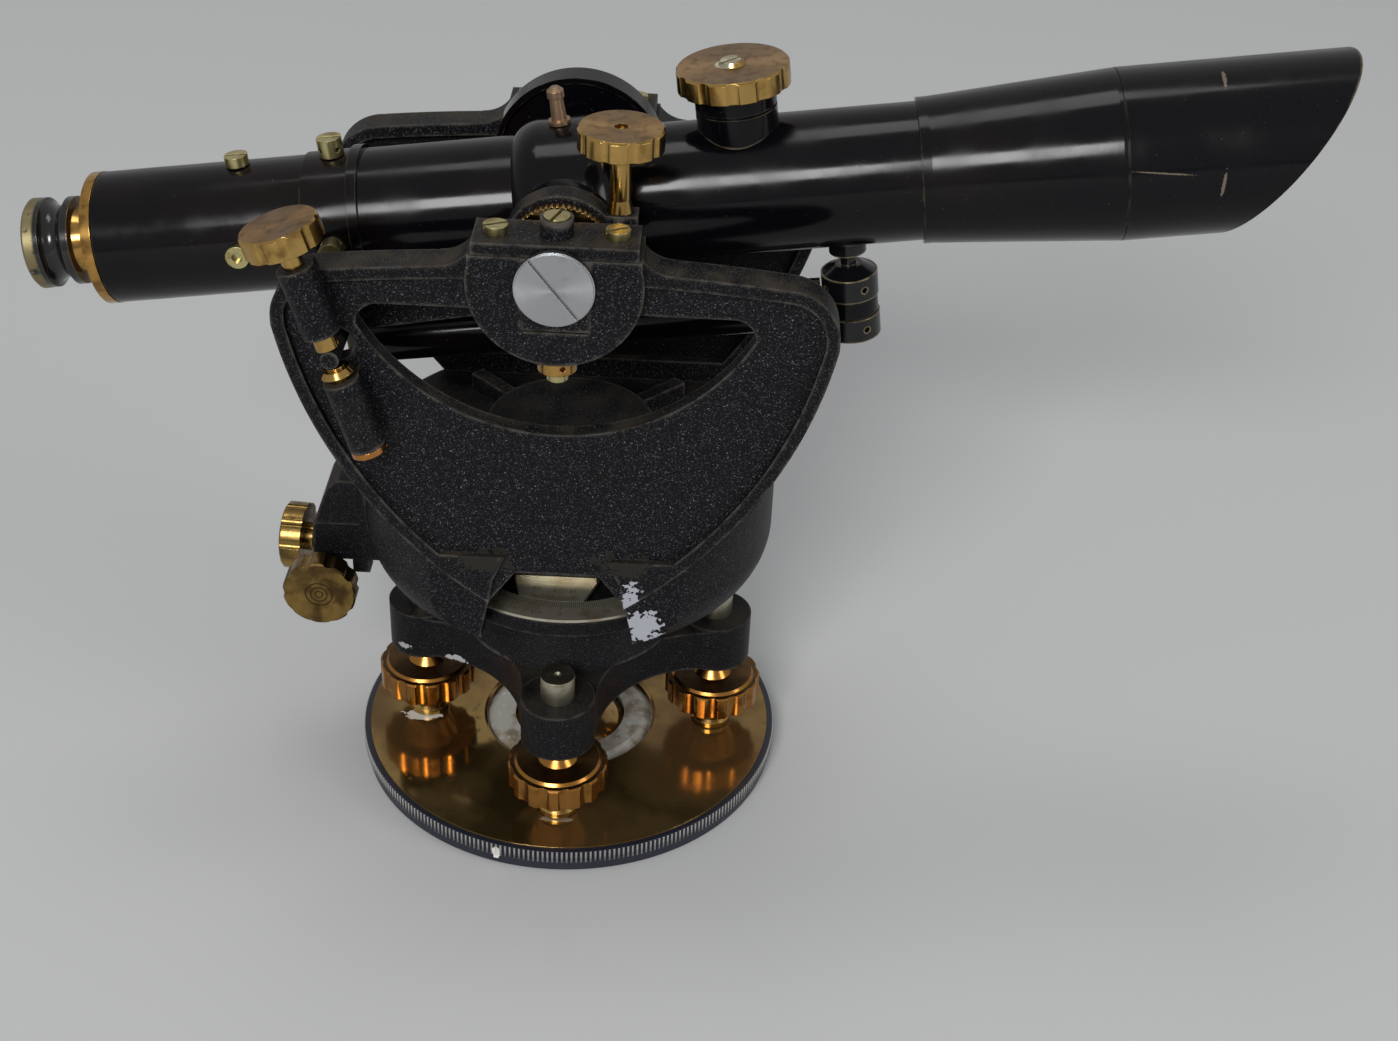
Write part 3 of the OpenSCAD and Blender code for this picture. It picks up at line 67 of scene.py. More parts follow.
# Colours that several materials share
ENAMEL_BLACK = (0.004, 0.004, 0.0048)
LACQUER_BLACK = (0.002, 0.002, 0.003)
NUT_BLACK = (0.004, 0.004, 0.005)
BRASS_BRIGHT = (0.45, 0.285, 0.09)
# Dull brass: the colour of tarnish, and of the shade painted into hollows
BRASS_TARNISH_SHADE = (0.17, 0.09, 0.028)
BRASS_TOP = (0.26, 0.17, 0.105)
SIDE_BRIGHT = (0.26, 0.165, 0.05)
CHIP = (0.34, 0.35, 0.38)
PAD_GREY = (0.020, 0.018, 0.014)
FLOOR_GREY = (0.52, 0.52, 0.51)


# ---- materials ----

class Shader:
    """A node material on a Principled BSDF. Textures are read in the piece's own metres."""

    def __init__(self, name, color, metallic=0.0, roughness=0.5, **constants):
        self.material = bpy.data.materials.new(name)
        self.material.use_nodes = True
        self.tree = self.material.node_tree
        self.bsdf = self.tree.nodes["Principled BSDF"]
        coords = self.tree.nodes.new("ShaderNodeTexCoord")
        self.place = coords.outputs["Object"]
        self.facing = coords.outputs["Normal"]
        self.set("Base Color", color)
        self.set("Metallic", metallic)
        self.set("Roughness", roughness)
        for socket, value in constants.items():
            self.set(socket.replace("_", " "), value)

    def set(self, socket, value):
        self.feed(self.bsdf.inputs[socket], value)

    def feed(self, socket, value):
        if isinstance(value, bpy.types.NodeSocket):
            self.tree.links.new(value, socket)
        elif isinstance(value, tuple) and len(value) == 3 and len(socket.default_value) == 4:
            socket.default_value = (*value, 1.0)
        else:
            socket.default_value = value

    def node(self, kind, inputs, **settings):
        made = self.tree.nodes.new(kind)
        for key, value in settings.items():
            setattr(made, key, value)
        for key, value in inputs.items():
            self.feed(made.inputs[key], value)
        return made

    def noise(self, size, detail=2.0, place=None):
        """Smooth noise whose features are about `size` metres across, 0 to 1."""
        place = place or self.place
        made = self.node("ShaderNodeTexNoise", {"Vector": place, "Scale": 1 / size, "Detail": detail})
        return made.outputs["Fac"]

    def cells(self, size):
        made = self.node("ShaderNodeTexVoronoi", {"Vector": self.place, "Scale": 1 / size})
        return made.outputs["Distance"]

    def math(self, operation, a, b=0.0):
        return self.node("ShaderNodeMath", {0: a, 1: b}, operation=operation).outputs[0]

    def vector(self, operation, a, b=(0, 0, 0)):
        made = self.node("ShaderNodeVectorMath", {0: a, 1: b}, operation=operation)
        return made.outputs["Value"] if operation in ("LENGTH", "DOT_PRODUCT") else made.outputs[0]

    def level(self, value, low, high):
        """0 below `low`, 1 above `high`, and smooth between them."""
        inputs = {"Value": value, "From Min": low, "From Max": high}
        return self.node("ShaderNodeMapRange", inputs, interpolation_type="SMOOTHSTEP").outputs["Result"]

    def mix(self, factor, a, b):
        made = self.node("ShaderNodeMix", {}, data_type="RGBA")
        self.feed(made.inputs[0], factor)
        self.feed(made.inputs[6], a)
        self.feed(made.inputs[7], b)
        return made.outputs[2]

    def blend(self, factor, a, b):
        made = self.node("ShaderNodeMix", {}, data_type="FLOAT")
        self.feed(made.inputs[0], factor)
        self.feed(made.inputs[2], a)
        self.feed(made.inputs[3], b)
        return made.outputs[0]

    def edges(self, width):
        """About 1 on outer edges, 0 away from them."""
        made = self.node("ShaderNodeAmbientOcclusion", {"Distance": width}, inside=True, samples=6)
        return self.math("SUBTRACT", 1.0, made.outputs["AO"])

    def hollows(self, width):
        """About 1 in narrow hollows, 0 on open faces."""
        made = self.node("ShaderNodeAmbientOcclusion", {"Distance": width}, samples=6)
        return self.math("SUBTRACT", 1.0, made.outputs["AO"])

    def spin(self, axis):
        """Turned round an axis, so that highlights fan out from the centre."""
        tangent = self.node("ShaderNodeTangent", {}, direction_type="RADIAL", axis=axis)
        self.tree.links.new(tangent.outputs[0], self.bsdf.inputs["Tangent"])

    def patch(self, centre, radii, ragged=0.5, grain=1.5 * MM):
        """1 inside an uneven patch round `centre`, 0 outside it."""
        offset = self.vector("DIVIDE", self.vector("SUBTRACT", self.place, centre), radii)
        away = self.vector("LENGTH", offset)
        rough = self.math("MULTIPLY", self.math("SUBTRACT", self.noise(grain, 3.0), 0.5), 4 * ragged)
        return self.level(self.math("ADD", away, rough), 1.0, 0.93)

    def bump(self, height, depth, after=None):
        inputs = {"Height": height, "Distance": depth, "Strength": 1.0}
        if after:
            inputs["Normal"] = after
        normal = self.node("ShaderNodeBump", inputs).outputs["Normal"]
        self.set("Normal", normal)
        return normal

    def round_edges(self, radius):
        return self.node("ShaderNodeBevel", {"Radius": radius}, samples=4).outputs["Normal"]


def crinkle(name, grain=0.5 * MM, glint_brightness=0.15, wear=0.7, dust=0.6, patches=(), depth=0.07 * MM):
    """Black crinkle enamel: fine wrinkles with glints painted in as pale specks, dust on what faces up, and
    edges worn grey.
    """
    s = Shader(name, (0.005, 0.005, 0.006), roughness=0.55, Specular_IOR_Level=0.12)
    wrinkle = s.noise(grain, 3.0)
    # The pale specks on the wrinkle tips and the brighter glints are painted highlights, put into the colour
    tips = s.level(s.noise(grain * 0.9, 1.0), 0.55, 0.70)
    color = s.mix(tips, ENAMEL_BLACK, (glint_brightness * 0.2, glint_brightness * 0.2, glint_brightness * 0.23))
    glints = s.level(s.noise(grain * 0.8, 1.0, s.vector("ADD", s.place, (0.3, 0.1, 0.2))), 0.67, 0.76)
    color = s.mix(glints, color, (glint_brightness, glint_brightness, glint_brightness * 1.1))
    upward = s.level(s.vector("DOT_PRODUCT", s.facing, (0, 0, 1)), 0.45, 0.95)
    dusty = s.math("MULTIPLY", s.math("MULTIPLY", upward, s.level(s.noise(9 * MM), 0.3, 0.7)), dust)
    color = s.mix(dusty, color, (0.056, 0.046, 0.032))
    rubbed = s.math("MULTIPLY", s.edges(1.3 * MM), s.noise(3 * MM, 3.0))
    worn = s.math("MULTIPLY", s.level(rubbed, 0.10, 0.34), wear)
    color = s.mix(worn, color, (0.11, 0.10, 0.085))
    for centre, radii, ragged, grey in patches:
        color = s.mix(s.patch(centre, radii, ragged), color, grey)
    s.set("Base Color", color)
    s.set("Roughness", s.blend(dusty, 0.46, 0.8))
    height = s.math("ADD", wrinkle, s.math("MULTIPLY", s.cells(grain * 1.6), 0.6))
    s.bump(height, depth, s.round_edges(0.45 * MM))
    return s.material


def lacquer(name, brown=0.2, marks=()):
    """Gloss black lacquer with faint rubbing, specks of dust and a brown tint where it is thin."""
    s = Shader(name, (0.003, 0.003, 0.004), roughness=0.12, Specular_IOR_Level=0.2)
    tint = s.math("MULTIPLY", s.level(s.noise(45 * MM, 3.0), 0.42, 0.7), brown)
    color = s.mix(tint, LACQUER_BLACK, (0.020, 0.008, 0.003))
    specks = s.level(s.noise(0.5 * MM, 1.0), 0.76, 0.82)
    color = s.mix(s.math("MULTIPLY", specks, 0.3), color, (0.25, 0.24, 0.22))
    worn = s.level(s.math("MULTIPLY", s.edges(0.7 * MM), s.noise(4 * MM, 3.0)), 0.22, 0.42)
    color = s.mix(worn, color, (0.12, 0.095, 0.06))
    for centre, radii, grain in marks:
        color = s.mix(s.patch(centre, radii, 0.5, grain), color, (0.13, 0.11, 0.075))
    s.set("Base Color", color)
    rubbed = s.level(s.noise(14 * MM, 4.0), 0.35, 0.75)
    s.set("Roughness", s.blend(rubbed, 0.11, 0.24))
    s.bump(s.noise(1.2 * MM, 2.0), 0.004 * MM, s.round_edges(0.2 * MM))
    return s.material


def brass(name, tarnish=0.35, up=None, bright=BRASS_BRIGHT, dull=BRASS_TARNISH_SHADE, top=BRASS_TOP, spin=None,
          screw=None, rings=None):
    """Lacquered brass that darkens in patches, and has shade painted dark into its hollows.

    Faces that look along `up` have a matt brown patina. A piece turned about the axis `spin` has highlights
    that fan out from its centre. `screw` is the middle and the radius of a bare nickel screw head on the `up`
    axis. `rings` is the middle and the radii of dark grooves round the Y axis.
    """
    s = Shader(name, bright, metallic=1.0, roughness=0.22, Anisotropic=0.6 if spin else 0.0)
    if spin:
        s.spin(spin)
    spots = s.level(s.noise(5 * MM, 4.0), 0.62 - 0.35 * tarnish, 0.95 - 0.3 * tarnish)
    # Tarnish spots take the dull colour, and so do narrow hollows, where it is painted shade
    color = s.mix(s.math("MAXIMUM", spots, s.level(s.hollows(1.6 * MM), 0.25, 0.9)), bright, dull)
    rough = s.blend(spots, 0.17, 0.36)
    if up:
        patina = s.level(s.vector("DOT_PRODUCT", s.facing, up), 0.8, 0.97)
        patina = s.math("MULTIPLY", patina, s.blend(s.noise(4 * MM, 4.0), 0.75, 1.0))
        stained = s.mix(s.level(s.noise(2.5 * MM, 4.0), 0.45, 0.7), top, tuple(0.6 * c for c in top))
        color = s.mix(patina, color, stained)
        rough = s.blend(patina, rough, 0.5)
    if screw:
        centre, head_r = screw
        away = s.vector("LENGTH", s.vector("CROSS_PRODUCT", s.vector("SUBTRACT", s.place, centre), up))
        head = s.level(away, head_r, head_r - 0.1 * MM)
        color = s.mix(head, color, (0.50, 0.46, 0.33))
    if rings:
        centre, radii = rings
        away = s.vector("LENGTH", s.vector("MULTIPLY", s.vector("SUBTRACT", s.place, centre), (1, 0, 1)))
        for radius in radii:
            ring = s.level(s.math("ABSOLUTE", s.math("SUBTRACT", away, radius)), 0.25 * MM, 0.12 * MM)
            color = s.mix(ring, color, (0.05, 0.032, 0.014))
    s.set("Base Color", color)
    s.set("Roughness", rough)
    s.bump(s.noise(0.6 * MM, 3.0), 0.008 * MM, s.round_edges(0.25 * MM))
    return s.material


def adjuster():
    """Brass capstan nut with a pale nickel screw end under it."""
    s = Shader("adjuster_brass", (0.42, 0.24, 0.07), metallic=1.0, roughness=0.25)
    height = s.node("ShaderNodeSeparateXYZ", {0: s.place}).outputs[2]
    end_z = ADJUSTER_LOW + ADJUSTER_END
    gold = s.mix(s.level(s.noise(3 * MM, 4.0), 0.45, 0.75), (0.45, 0.26, 0.075), (0.24, 0.12, 0.04))
    s.set("Base Color", s.mix(s.level(height, end_z - 0.1 * MM, end_z + 0.1 * MM), (0.48, 0.43, 0.22), gold))
    s.bump(s.noise(0.6 * MM, 3.0), 0.008 * MM, s.round_edges(0.25 * MM))
    return s.material


def plated(name, color, dull, roughness):
    """Old nickel plate, yellowed in patches."""
    s = Shader(name, color, metallic=1.0, roughness=roughness)
    spots = s.level(s.noise(3.5 * MM, 4.0), 0.45, 0.75)
    s.set("Base Color", s.mix(spots, color, dull))
    s.set("Roughness", s.blend(spots, roughness, roughness + 0.15))
    s.bump(s.noise(0.5 * MM, 3.0), 0.008 * MM, s.round_edges(0.25 * MM))
    return s.material


def turned(name, color, axis, roughness=0.3):
    """Metal faced on a lathe: fine rings round the axis, and a highlight that fans out from the centre."""
    s = Shader(name, color, metallic=1.0, roughness=roughness, Anisotropic=0.75)
    s.spin(axis)
    spots = s.level(s.noise(6 * MM, 5.0), 0.55, 0.85)
    s.set("Base Color", s.mix(spots, color, tuple(0.62 * c for c in color)))
    s.set("Roughness", s.blend(s.noise(2 * MM, 3.0), roughness - 0.05, roughness + 0.1))
    s.bump(s.noise(0.4 * MM, 3.0), 0.004 * MM, s.round_edges(0.2 * MM))
    return s.material


def foot_enamel():
    """Black enamel on the knurled ring, rubbed to bright metal on the teeth and along the upper edge."""
    s = Shader("foot_enamel", (0.016, 0.017, 0.024), roughness=0.35)
    z = s.node("ShaderNodeSeparateXYZ", {0: s.place}).outputs[2]
    radius = s.vector("LENGTH", s.vector("MULTIPLY", s.place, (1, 1, 0)))
    teeth = s.level(radius, FOOT_R - 0.34 * MM, FOOT_R - 0.10 * MM)
    upper = s.level(z, FOOT_TOP - 3.9 * MM, FOOT_TOP - 1.0 * MM)
    uneven = s.level(s.noise(9 * MM, 4.0), 0.38, 0.62)
    rubbed = s.math("MAXIMUM", s.math("MULTIPLY", upper, 0.95), s.math("MULTIPLY", uneven, 0.45))
    bright = s.math("MULTIPLY", teeth, rubbed)
    chip = s.patch((-15.5 * MM, -58.0 * MM, 4.0 * MM), (1.2 * MM, 2.5 * MM, 2.4 * MM), 0.3, 1.2 * MM)
    color = s.mix(bright, (0.010, 0.012, 0.022), (0.50, 0.49, 0.46))
    color = s.mix(chip, color, (0.72, 0.70, 0.66))
    s.set("Base Color", color)
    s.set("Metallic", s.math("MULTIPLY", bright, 0.6))
    s.set("Roughness", s.blend(s.noise(2 * MM, 3.0), 0.28, 0.5))
    s.bump(s.noise(0.5 * MM, 3.0), 0.015 * MM, s.round_edges(0.2 * MM))
    return s.material


def plate_brass():
    """Polished brass plate, tarnished brown in clouds, that mirrors what stands on it."""
    s = Shader("plate_brass", (0.40, 0.27, 0.11), metallic=1.0, roughness=0.13)
    clouds = s.level(s.noise(22 * MM, 5.0), 0.38, 0.68)
    freckles = s.level(s.noise(2.2 * MM, 4.0), 0.56, 0.72)
    color = s.mix(clouds, (0.36, 0.235, 0.085), (0.17, 0.095, 0.035))
    color = s.mix(s.math("MULTIPLY", freckles, 0.45), color, (0.13, 0.085, 0.04))
    residue = s.patch((-43 * MM, -5.4 * MM, FOOT_TOP), (5.5 * MM, 2.2 * MM, 3 * MM), 0.35, 2 * MM)
    faint = s.patch((0, -47 * MM, FOOT_TOP), (4.5 * MM, 1.2 * MM, 3 * MM), 0.35, 2 * MM)
    residue = s.math("MAXIMUM", residue, s.math("MULTIPLY", 0.35, faint))
    color = s.mix(residue, color, (0.62, 0.60, 0.54))
    bare = s.math("SUBTRACT", 1.0, residue)
    s.set("Metallic", s.math("MULTIPLY", bare, s.blend(clouds, 0.95, 0.7)))
    s.set("Base Color", color)
    s.set("Roughness", s.blend(s.math("MAXIMUM", s.math("MULTIPLY", clouds, 0.5), freckles), 0.09, 0.26))
    s.bump(s.noise(7 * MM, 2.0), 0.02 * MM, s.round_edges(0.25 * MM))
    return s.material


def level_lacquer():
    """Black lacquer worn to brass on the edges of the nuts, in their holes and round the post."""
    s = Shader("level_lacquer", NUT_BLACK, roughness=0.2, Specular_IOR_Level=0.4)
    shown = s.math("MAXIMUM", s.level(s.hollows(1.2 * MM), 0.5, 0.8), s.level(s.edges(0.6 * MM), 0.16, 0.4))
    shown = s.math("MULTIPLY", shown, s.level(s.noise(3 * MM, 3.0), 0.3, 0.5))
    s.set("Base Color", s.mix(shown, NUT_BLACK, (0.30, 0.24, 0.13)))
    s.set("Metallic", s.math("MULTIPLY", shown, 0.7))
    s.bump(s.noise(1.2 * MM, 2.0), 0.004 * MM, s.round_edges(0.25 * MM))
    return s.material


def grey_metal():
    """Dull grey plate with pale and brown stains."""
    s = Shader("grey_metal", (0.52, 0.51, 0.46), metallic=0.55, roughness=0.55)
    stains = s.level(s.noise(5 * MM, 5.0), 0.42, 0.66)
    color = s.mix(stains, (0.58, 0.57, 0.52), (0.30, 0.245, 0.165))
    color = s.mix(s.level(s.noise(1.4 * MM, 4.0), 0.62, 0.72), color, (0.78, 0.77, 0.73))
    s.set("Base Color", color)
    s.bump(s.noise(1.2 * MM, 5.0), 0.06 * MM)
    return s.material


def silvered():
    """Matt silvered brass, gone warm in patches."""
    s = Shader("silvered", (0.48, 0.45, 0.36), metallic=0.8, roughness=0.4)
    spots = s.level(s.noise(6 * MM, 5.0), 0.42, 0.75)
    s.set("Base Color", s.mix(spots, (0.50, 0.47, 0.37), (0.36, 0.30, 0.20)))
    s.bump(s.noise(0.35 * MM, 3.0), 0.008 * MM)
    return s.material


def eyepiece():
    """Brass ring and waist, then a black spool whose outer rim is rubbed to brass."""
    s = Shader("banded_eyepiece", (0.5, 0.3, 0.1), roughness=0.25)
    along = s.vector("DOT_PRODUCT", s.vector("SUBTRACT", s.place, (0, 0, AXIS_Z)), TUBE_AXIS)
    outwards = s.math("SUBTRACT", EYEPIECE_S, along)
    black = s.level(outwards, 8.0 * MM, 8.3 * MM)
    patchy = s.level(s.noise(2 * MM, 4.0), 0.3, 0.5)
    rim = s.math("MULTIPLY", s.level(outwards, 16.6 * MM, 17.4 * MM), patchy)
    worn = s.math("MAXIMUM", rim, s.level(s.edges(0.5 * MM), 0.25, 0.5))
    metal = s.math("SUBTRACT", 1.0, s.math("MULTIPLY", black, s.math("SUBTRACT", 1.0, worn)))
    gold = s.mix(s.level(s.noise(3 * MM, 4.0), 0.4, 0.7), (0.46, 0.26, 0.07), (0.24, 0.13, 0.045))
    gold = s.mix(black, gold, (0.23, 0.19, 0.10))
    s.set("Base Color", s.mix(metal, (0.007, 0.007, 0.008), gold))
    s.set("Metallic", metal)
    s.set("Roughness", s.blend(rim, 0.17, 0.45))
    s.bump(s.noise(0.6 * MM, 3.0), 0.006 * MM, s.round_edges(0.2 * MM))
    return s.material


def glass(name, color):
    """Clear glass with a faint coating."""
    s = Shader(name, color, roughness=0.02, Transmission_Weight=1.0, IOR=1.5)
    s.set("Base Color", s.mix(s.noise(30 * MM), color, tuple(0.93 * c for c in color)))
    return s.material


def ink():
    """Black wax in engraved lines."""
    s = Shader("scale_ink", (0.02, 0.018, 0.016), roughness=0.7)
    s.set("Base Color", s.mix(s.noise(0.8 * MM, 3.0), (0.012, 0.011, 0.010), (0.09, 0.075, 0.055)))
    return s.material


# Worn places and the greyed pads: centre, radii, raggedness and colour
FRONT_PATCHES = [
    # The two pads below the field get a flat dark grey-brown
    ((17 * MM, -46 * MM, 93 * MM), (7 * MM, 3 * MM, 3.5 * MM), 0.9, PAD_GREY),
    ((-17 * MM, -46 * MM, 93 * MM), (7 * MM, 3 * MM, 3.5 * MM), 0.9, PAD_GREY),
    ((19.2 * MM, -46 * MM, 79 * MM), (2.8 * MM, 6.0 * MM, 8.0 * MM), 0.7, CHIP),
    ((14 * MM, -46 * MM, 148 * MM), (5 * MM, 4 * MM, 1.2 * MM), 0.8, (0.10, 0.10, 0.105)),
]
BOWL_PATCHES = [((22.5 * MM, -44.5 * MM, 74 * MM), (4.2 * MM, 6.0 * MM, 5.0 * MM), 0.7, CHIP)]
HEAD_PATCHES = [
    ((-46.5 * MM, -9 * MM, 35.5 * MM), (2.2 * MM, 3 * MM, 0.9 * MM), 0.7, (0.34, 0.34, 0.35)),
    ((-31 * MM, -11 * MM, 34.2 * MM), (3.4 * MM, 4 * MM, 1.0 * MM), 0.7, (0.38, 0.38, 0.38)),
]
# Scratches on the sunshade: centre, radii and grain
SHADE_MARKS = [
    ((140 * MM, -20.6 * MM, 194.6 * MM), (6.5 * MM, 1.5 * MM, 0.2 * MM), 0.3 * MM),
    ((154 * MM, -20.8 * MM, 193 * MM), (0.4 * MM, 2 * MM, 3.5 * MM), 0.8 * MM),
    ((153 * MM, -6.5 * MM, 213 * MM), (0.5 * MM, 3.5 * MM, 2 * MM), 0.8 * MM),
]
# Finer crinkle: smaller grain, fainter painted glints, less dust and shallower wrinkles
FINE = {"grain": 0.42 * MM, "glint_brightness": 0.085, "dust": 0.35, "depth": 0.05 * MM}
UP = (0, 0, 1)

MATERIALS = {
    "crinkle": crinkle("crinkle_enamel"),
    "crinkle_front": crinkle("crinkle_front", patches=FRONT_PATCHES),
    "crinkle_bowl": crinkle("crinkle_bowl", dust=0.3, patches=BOWL_PATCHES),
    "fine_enamel": crinkle("fine_enamel", wear=0.45, **FINE),
    "head_enamel": crinkle("head_enamel", wear=0.5, patches=HEAD_PATCHES, **FINE),
    "lacquer": lacquer("black_lacquer"),
    "lacquer_shade": lacquer("black_lacquer_shade", 0.4, SHADE_MARKS),
    "lacquer_level": level_lacquer(),
    "brass": brass("lacquered_brass"),
    "brass_wheel": brass(
        "levelling_brass", 0.45, UP, (0.36, 0.165, 0.038), (0.13, 0.05, 0.014), (0.10, 0.062, 0.03), "Z"),
    "brass_knob": brass(
        "knob_brass", 0.4, TUBE_UP, top=(0.27, 0.175, 0.10), spin="Z", screw=(middle("focus_knob"), 3.2 * MM)),
    "brass_clamp": brass("clamp_brass", 0.4, UP, top=(0.28, 0.175, 0.085), spin="Z"),
    "brass_tangent": brass("tangent_brass", 0.45, TANGENT_UP, top=(0.22, 0.13, 0.065), spin="Z"),
    "brass_orange": brass("orange_brass", 0.2, bright=(0.46, 0.20, 0.055)),
    "brass_side": brass("side_knob_brass", 0.6, bright=SIDE_BRIGHT, dull=(0.085, 0.055, 0.022)),
    "brass_ringed": brass(
        "ringed_knob_brass", 0.9, bright=SIDE_BRIGHT, dull=(0.075, 0.045, 0.018),
        rings=(middle("horizontal_tangent_screw"), (1.0 * MM, 2.2 * MM, 3.6 * MM))),
    "eyepiece": eyepiece(),
    "adjuster": adjuster(),
    "nickel": plated("old_nickel", (0.50, 0.47, 0.36), (0.27, 0.24, 0.15), 0.32),
    "nickel_gold": plated("yellow_nickel", (0.48, 0.42, 0.20), (0.27, 0.21, 0.08), 0.3),
    "post": plated("post_bronze", (0.36, 0.235, 0.15), (0.24, 0.15, 0.09), 0.38),
    "steel": plated("bare_steel", (0.45, 0.45, 0.44), (0.28, 0.26, 0.23), 0.3),
    "aluminium": turned("turned_aluminium", (0.40, 0.41, 0.42), "Y"),
    "silvered": silvered(),
    "foot": foot_enamel(),
    "plate": plate_brass(),
    "grey": grey_metal(),
    "glass": glass("optical_glass", (0.80, 0.86, 0.95)),
    "vial": glass("vial_glass", (0.80, 0.90, 0.60)),
    "ink": ink(),
}

# Nodes of each finish. What is not listed is plain brass.
FINISHES = {
    "crinkle": ["standard_back", "bearing_blocks", "bearing_caps", "vertical_clamp_arm"],
    "crinkle_front": ["standard_front"],
    "crinkle_bowl": ["alidade_bowl"],
    "fine_enamel": ["circle_carrier", "horizontal_bracket", "horizontal_clamp_arm"],
    "head_enamel": ["levelling_head"],
    "lacquer": [
        "circle_guard", "telescope_barrel", "objective_cone", "eyepiece_tube", "focus_stem", "level_tube"],
    "lacquer_shade": ["sunshade"],
    "lacquer_level": ["level_mounts"],
    "brass_wheel": ["levelling_screw_" + side for side in ("front", "back", "left", "right")],
    "brass_knob": ["focus_knob"],
    "brass_clamp": ["vertical_clamp_screw"],
    "brass_tangent": ["vertical_tangent_screw"],
    "brass_orange": ["tangent_end_cap"],
    "brass_side": ["horizontal_clamp_screw"],
    "brass_ringed": ["horizontal_tangent_screw"],
    "eyepiece": ["eyepiece"],
    "adjuster": ["bearing_adjusters"],
    "nickel": ["dust_caps"],
    "nickel_gold": ["cap_screws", "eyepiece_screws"],
    "post": ["sight_post"],
    "steel": ["plate_screws", "spindle", "trunnion_axle", "plunger_spring"],
    "aluminium": ["trunnion_covers"],
    "silvered": ["horizontal_circle", "vernier", "vertical_circle"],
    "foot": ["foot_ring"],
    "plate": ["foot_plate", "half_ball"],
    "grey": ["shifting_plate"],
    "glass": ["objective_lens", "eyepiece_lenses"],
    "vial": ["level_vial"],
}
finish_of = {node: finish for finish, nodes in FINISHES.items() for node in nodes}

for name, node in NODES.items():
    node.data.materials.clear()
    node.data.materials.append(MATERIALS[finish_of.get(name, "brass")])


# ---- graduations ----

def add_piece(name, mesh, body, material):
    piece = bpy.data.objects.new(name, mesh)
    bpy.context.collection.objects.link(piece)
    mesh.materials.append(MATERIALS[material])
    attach(piece, body)
    return piece


def cut_line(bm, angle, start, end, width, z, depth=0.02 * MM):
    """A radial line filled with wax, standing barely proud of the scale."""
    corners = [(start, -width / 2), (end, -width / 2), (end, width / 2), (start, width / 2)]
    turn = Matrix.Rotation(angle, 3, "Z")
    rings = [[bm.verts.new(turn @ Vector((x, y, z + h))) for x, y in corners] for h in (-depth, depth)]
    bm.faces.new(list(reversed(rings[0])))
    bm.faces.new(rings[1])
    for i in range(4):
        j = (i + 1) % 4
        bm.faces.new((rings[0][i], rings[0][j], rings[1][j], rings[1][i]))


def cut_number(bm, text, angle, radius, size, z, depth=0.02 * MM):
    """A number that is read from outside the circle, its foot towards the rim."""
    curve = bpy.data.curves.new("number", "FONT")
    curve.body = text
    curve.size = size
    curve.extrude = depth
    curve.resolution_u = 2
    curve.align_x = "CENTER"
    curve.align_y = "CENTER"
    holder = bpy.data.objects.new("number", curve)
    bpy.context.collection.objects.link(holder)
    graph = bpy.context.evaluated_depsgraph_get()
    mesh = bpy.data.meshes.new_from_object(holder.evaluated_get(graph))
    turn = Matrix.Rotation(angle + math.pi / 2, 4, "Z")
    mesh.transform(turn @ Matrix.Translation((0, -radius, z)))
    bm.from_mesh(mesh)
    bpy.data.meshes.remove(mesh)
    bpy.data.objects.remove(holder)
    bpy.data.curves.remove(curve)


def finish_mesh(bm, name):
    mesh = bpy.data.meshes.new(name)
    bm.to_mesh(mesh)
    bm.free()
    return mesh


def circle_scale():
    """Lines at each degree from the circle's inner edge outwards, with a number every ten."""
    bm = bmesh.new()
    inner = CIRCLE_R - SCALE_W
    for degree in range(360):
        length = 3.6 if degree % 10 == 0 else 3.1 if degree % 5 == 0 else 2.5
        cut_line(bm, math.radians(degree), inner + 0.15 * MM, inner + length * MM, 0.17 * MM, CIRCLE_TOP)
    for number in range(0, 360, 10):
        cut_number(bm, str(number), math.radians(number - 90), inner + 5.5 * MM, 2.1 * MM, CIRCLE_TOP)
    add_piece("circle_scale", finish_mesh(bm, "circle_scale"), "head", "ink")


def vernier_scale():
    """Twelve divisions each side of the zero, along the edge next to the circle."""
    bm = bmesh.new()
    edge = CIRCLE_R - SCALE_W - SCALE_GAP
    zero = math.radians(-90 - 4.9)
    step = math.radians(0.92)
    for i in range(-12, 13):
        length = 2.6 if i % 6 == 0 else 1.8
        cut_line(bm, zero + i * step, edge - length * MM, edge - 0.1 * MM, 0.16 * MM, CIRCLE_TOP)
    for i, text in ((-12, "60"), (0, "0"), (12, "60")):
        cut_number(bm, text, zero + i * step, edge - 4.4 * MM, 1.9 * MM, CIRCLE_TOP)
    add_piece("vernier_scale", finish_mesh(bm, "vernier_scale"), "alidade", "ink")


circle_scale()
vernier_scale()


# ---- stage, light and camera ----

def make_stage():
    bpy.ops.mesh.primitive_plane_add(size=60, location=(0, 0, 0))
    floor = bpy.context.object
    floor.name = "floor"
    s = Shader("pale_floor", FLOOR_GREY, roughness=0.65)
    s.set("Base Color", s.mix(s.noise(0.5), FLOOR_GREY, tuple(c + 0.02 for c in FLOOR_GREY)))
    floor.data.materials.append(s.material)


# Area lamps: place, height on the Z axis that they face, size in metres, and power
LAMPS = {
    "key": ((-0.6, -2.6, 1.9), 0.12, (1.1, 0.8), 68),
    "fill": ((2.4, -1.1, 1.1), 0.12, (0.9, 0.9), 14),
    "top": ((-0.4, 0.6, 3.0), 0.1, (1.5, 0.9), 15),
}


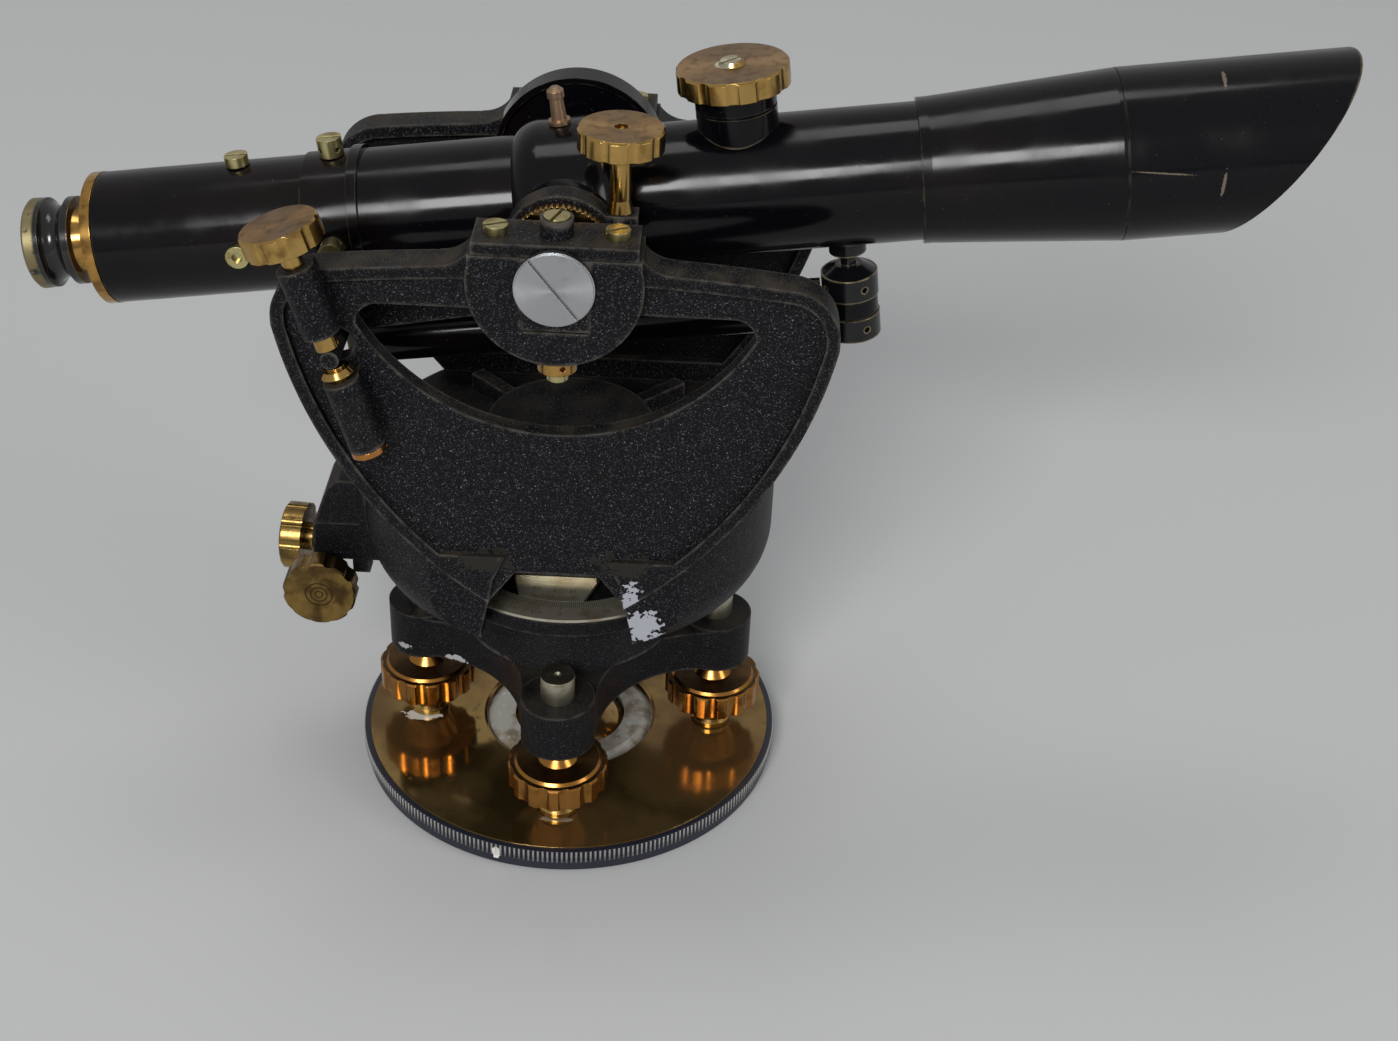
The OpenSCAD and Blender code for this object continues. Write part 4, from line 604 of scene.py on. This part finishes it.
def make_lamps():
    for name, (place, aim_z, size, power) in LAMPS.items():
        data = bpy.data.lights.new(name, "AREA")
        data.shape = "RECTANGLE"
        data.size, data.size_y = size
        data.energy = power
        lamp = bpy.data.objects.new(name, data)
        bpy.context.collection.objects.link(lamp)
        lamp.location = place
        lamp.rotation_euler = (Vector((0, 0, aim_z)) - Vector(place)).to_track_quat("-Z", "Y").to_euler()


def make_world():
    world = bpy.data.worlds.new("studio")
    bpy.context.scene.world = world
    world.use_nodes = True
    tree = world.node_tree
    shown = (0.46, 0.46, 0.455)
    light = (0.30, 0.31, 0.33)
    background = tree.nodes["Background"]
    path = tree.nodes.new("ShaderNodeLightPath")
    seen = path.outputs["Is Camera Ray"]
    for ray in ("Is Glossy Ray", "Is Transmission Ray"):
        either = tree.nodes.new("ShaderNodeMath")
        either.operation = "MAXIMUM"
        tree.links.new(seen, either.inputs[0])
        tree.links.new(path.outputs[ray], either.inputs[1])
        seen = either.outputs[0]
    mix = tree.nodes.new("ShaderNodeMix")
    mix.data_type = "RGBA"
    tree.links.new(seen, mix.inputs[0])
    mix.inputs[6].default_value = (*light, 1)
    mix.inputs[7].default_value = (*shown, 1)
    tree.links.new(mix.outputs[2], background.inputs["Color"])
    background.inputs["Strength"].default_value = 1.0


CAMERA_PLACE = Vector((0.0354, -0.4431, 0.3772))
CAMERA_DOWN = math.radians(34.1)
CAMERA_ROLL = math.radians(2.689)


def make_camera():
    """A lens of about 50 mm that looks down, with a slight roll."""
    data = bpy.data.cameras.new("camera")
    data.sensor_width = 36
    data.lens = 50.06
    data.clip_start = 0.01
    camera = bpy.data.objects.new("camera", data)
    bpy.context.collection.objects.link(camera)
    turn = Matrix.Rotation(math.radians(90) - CAMERA_DOWN, 4, "X") @ Matrix.Rotation(CAMERA_ROLL, 4, "Z")
    camera.matrix_world = Matrix.Translation(CAMERA_PLACE) @ turn
    bpy.context.scene.camera = camera


make_camera()
make_stage()
make_world()
make_lamps()
bpy.context.scene.view_settings.view_transform = "Standard"
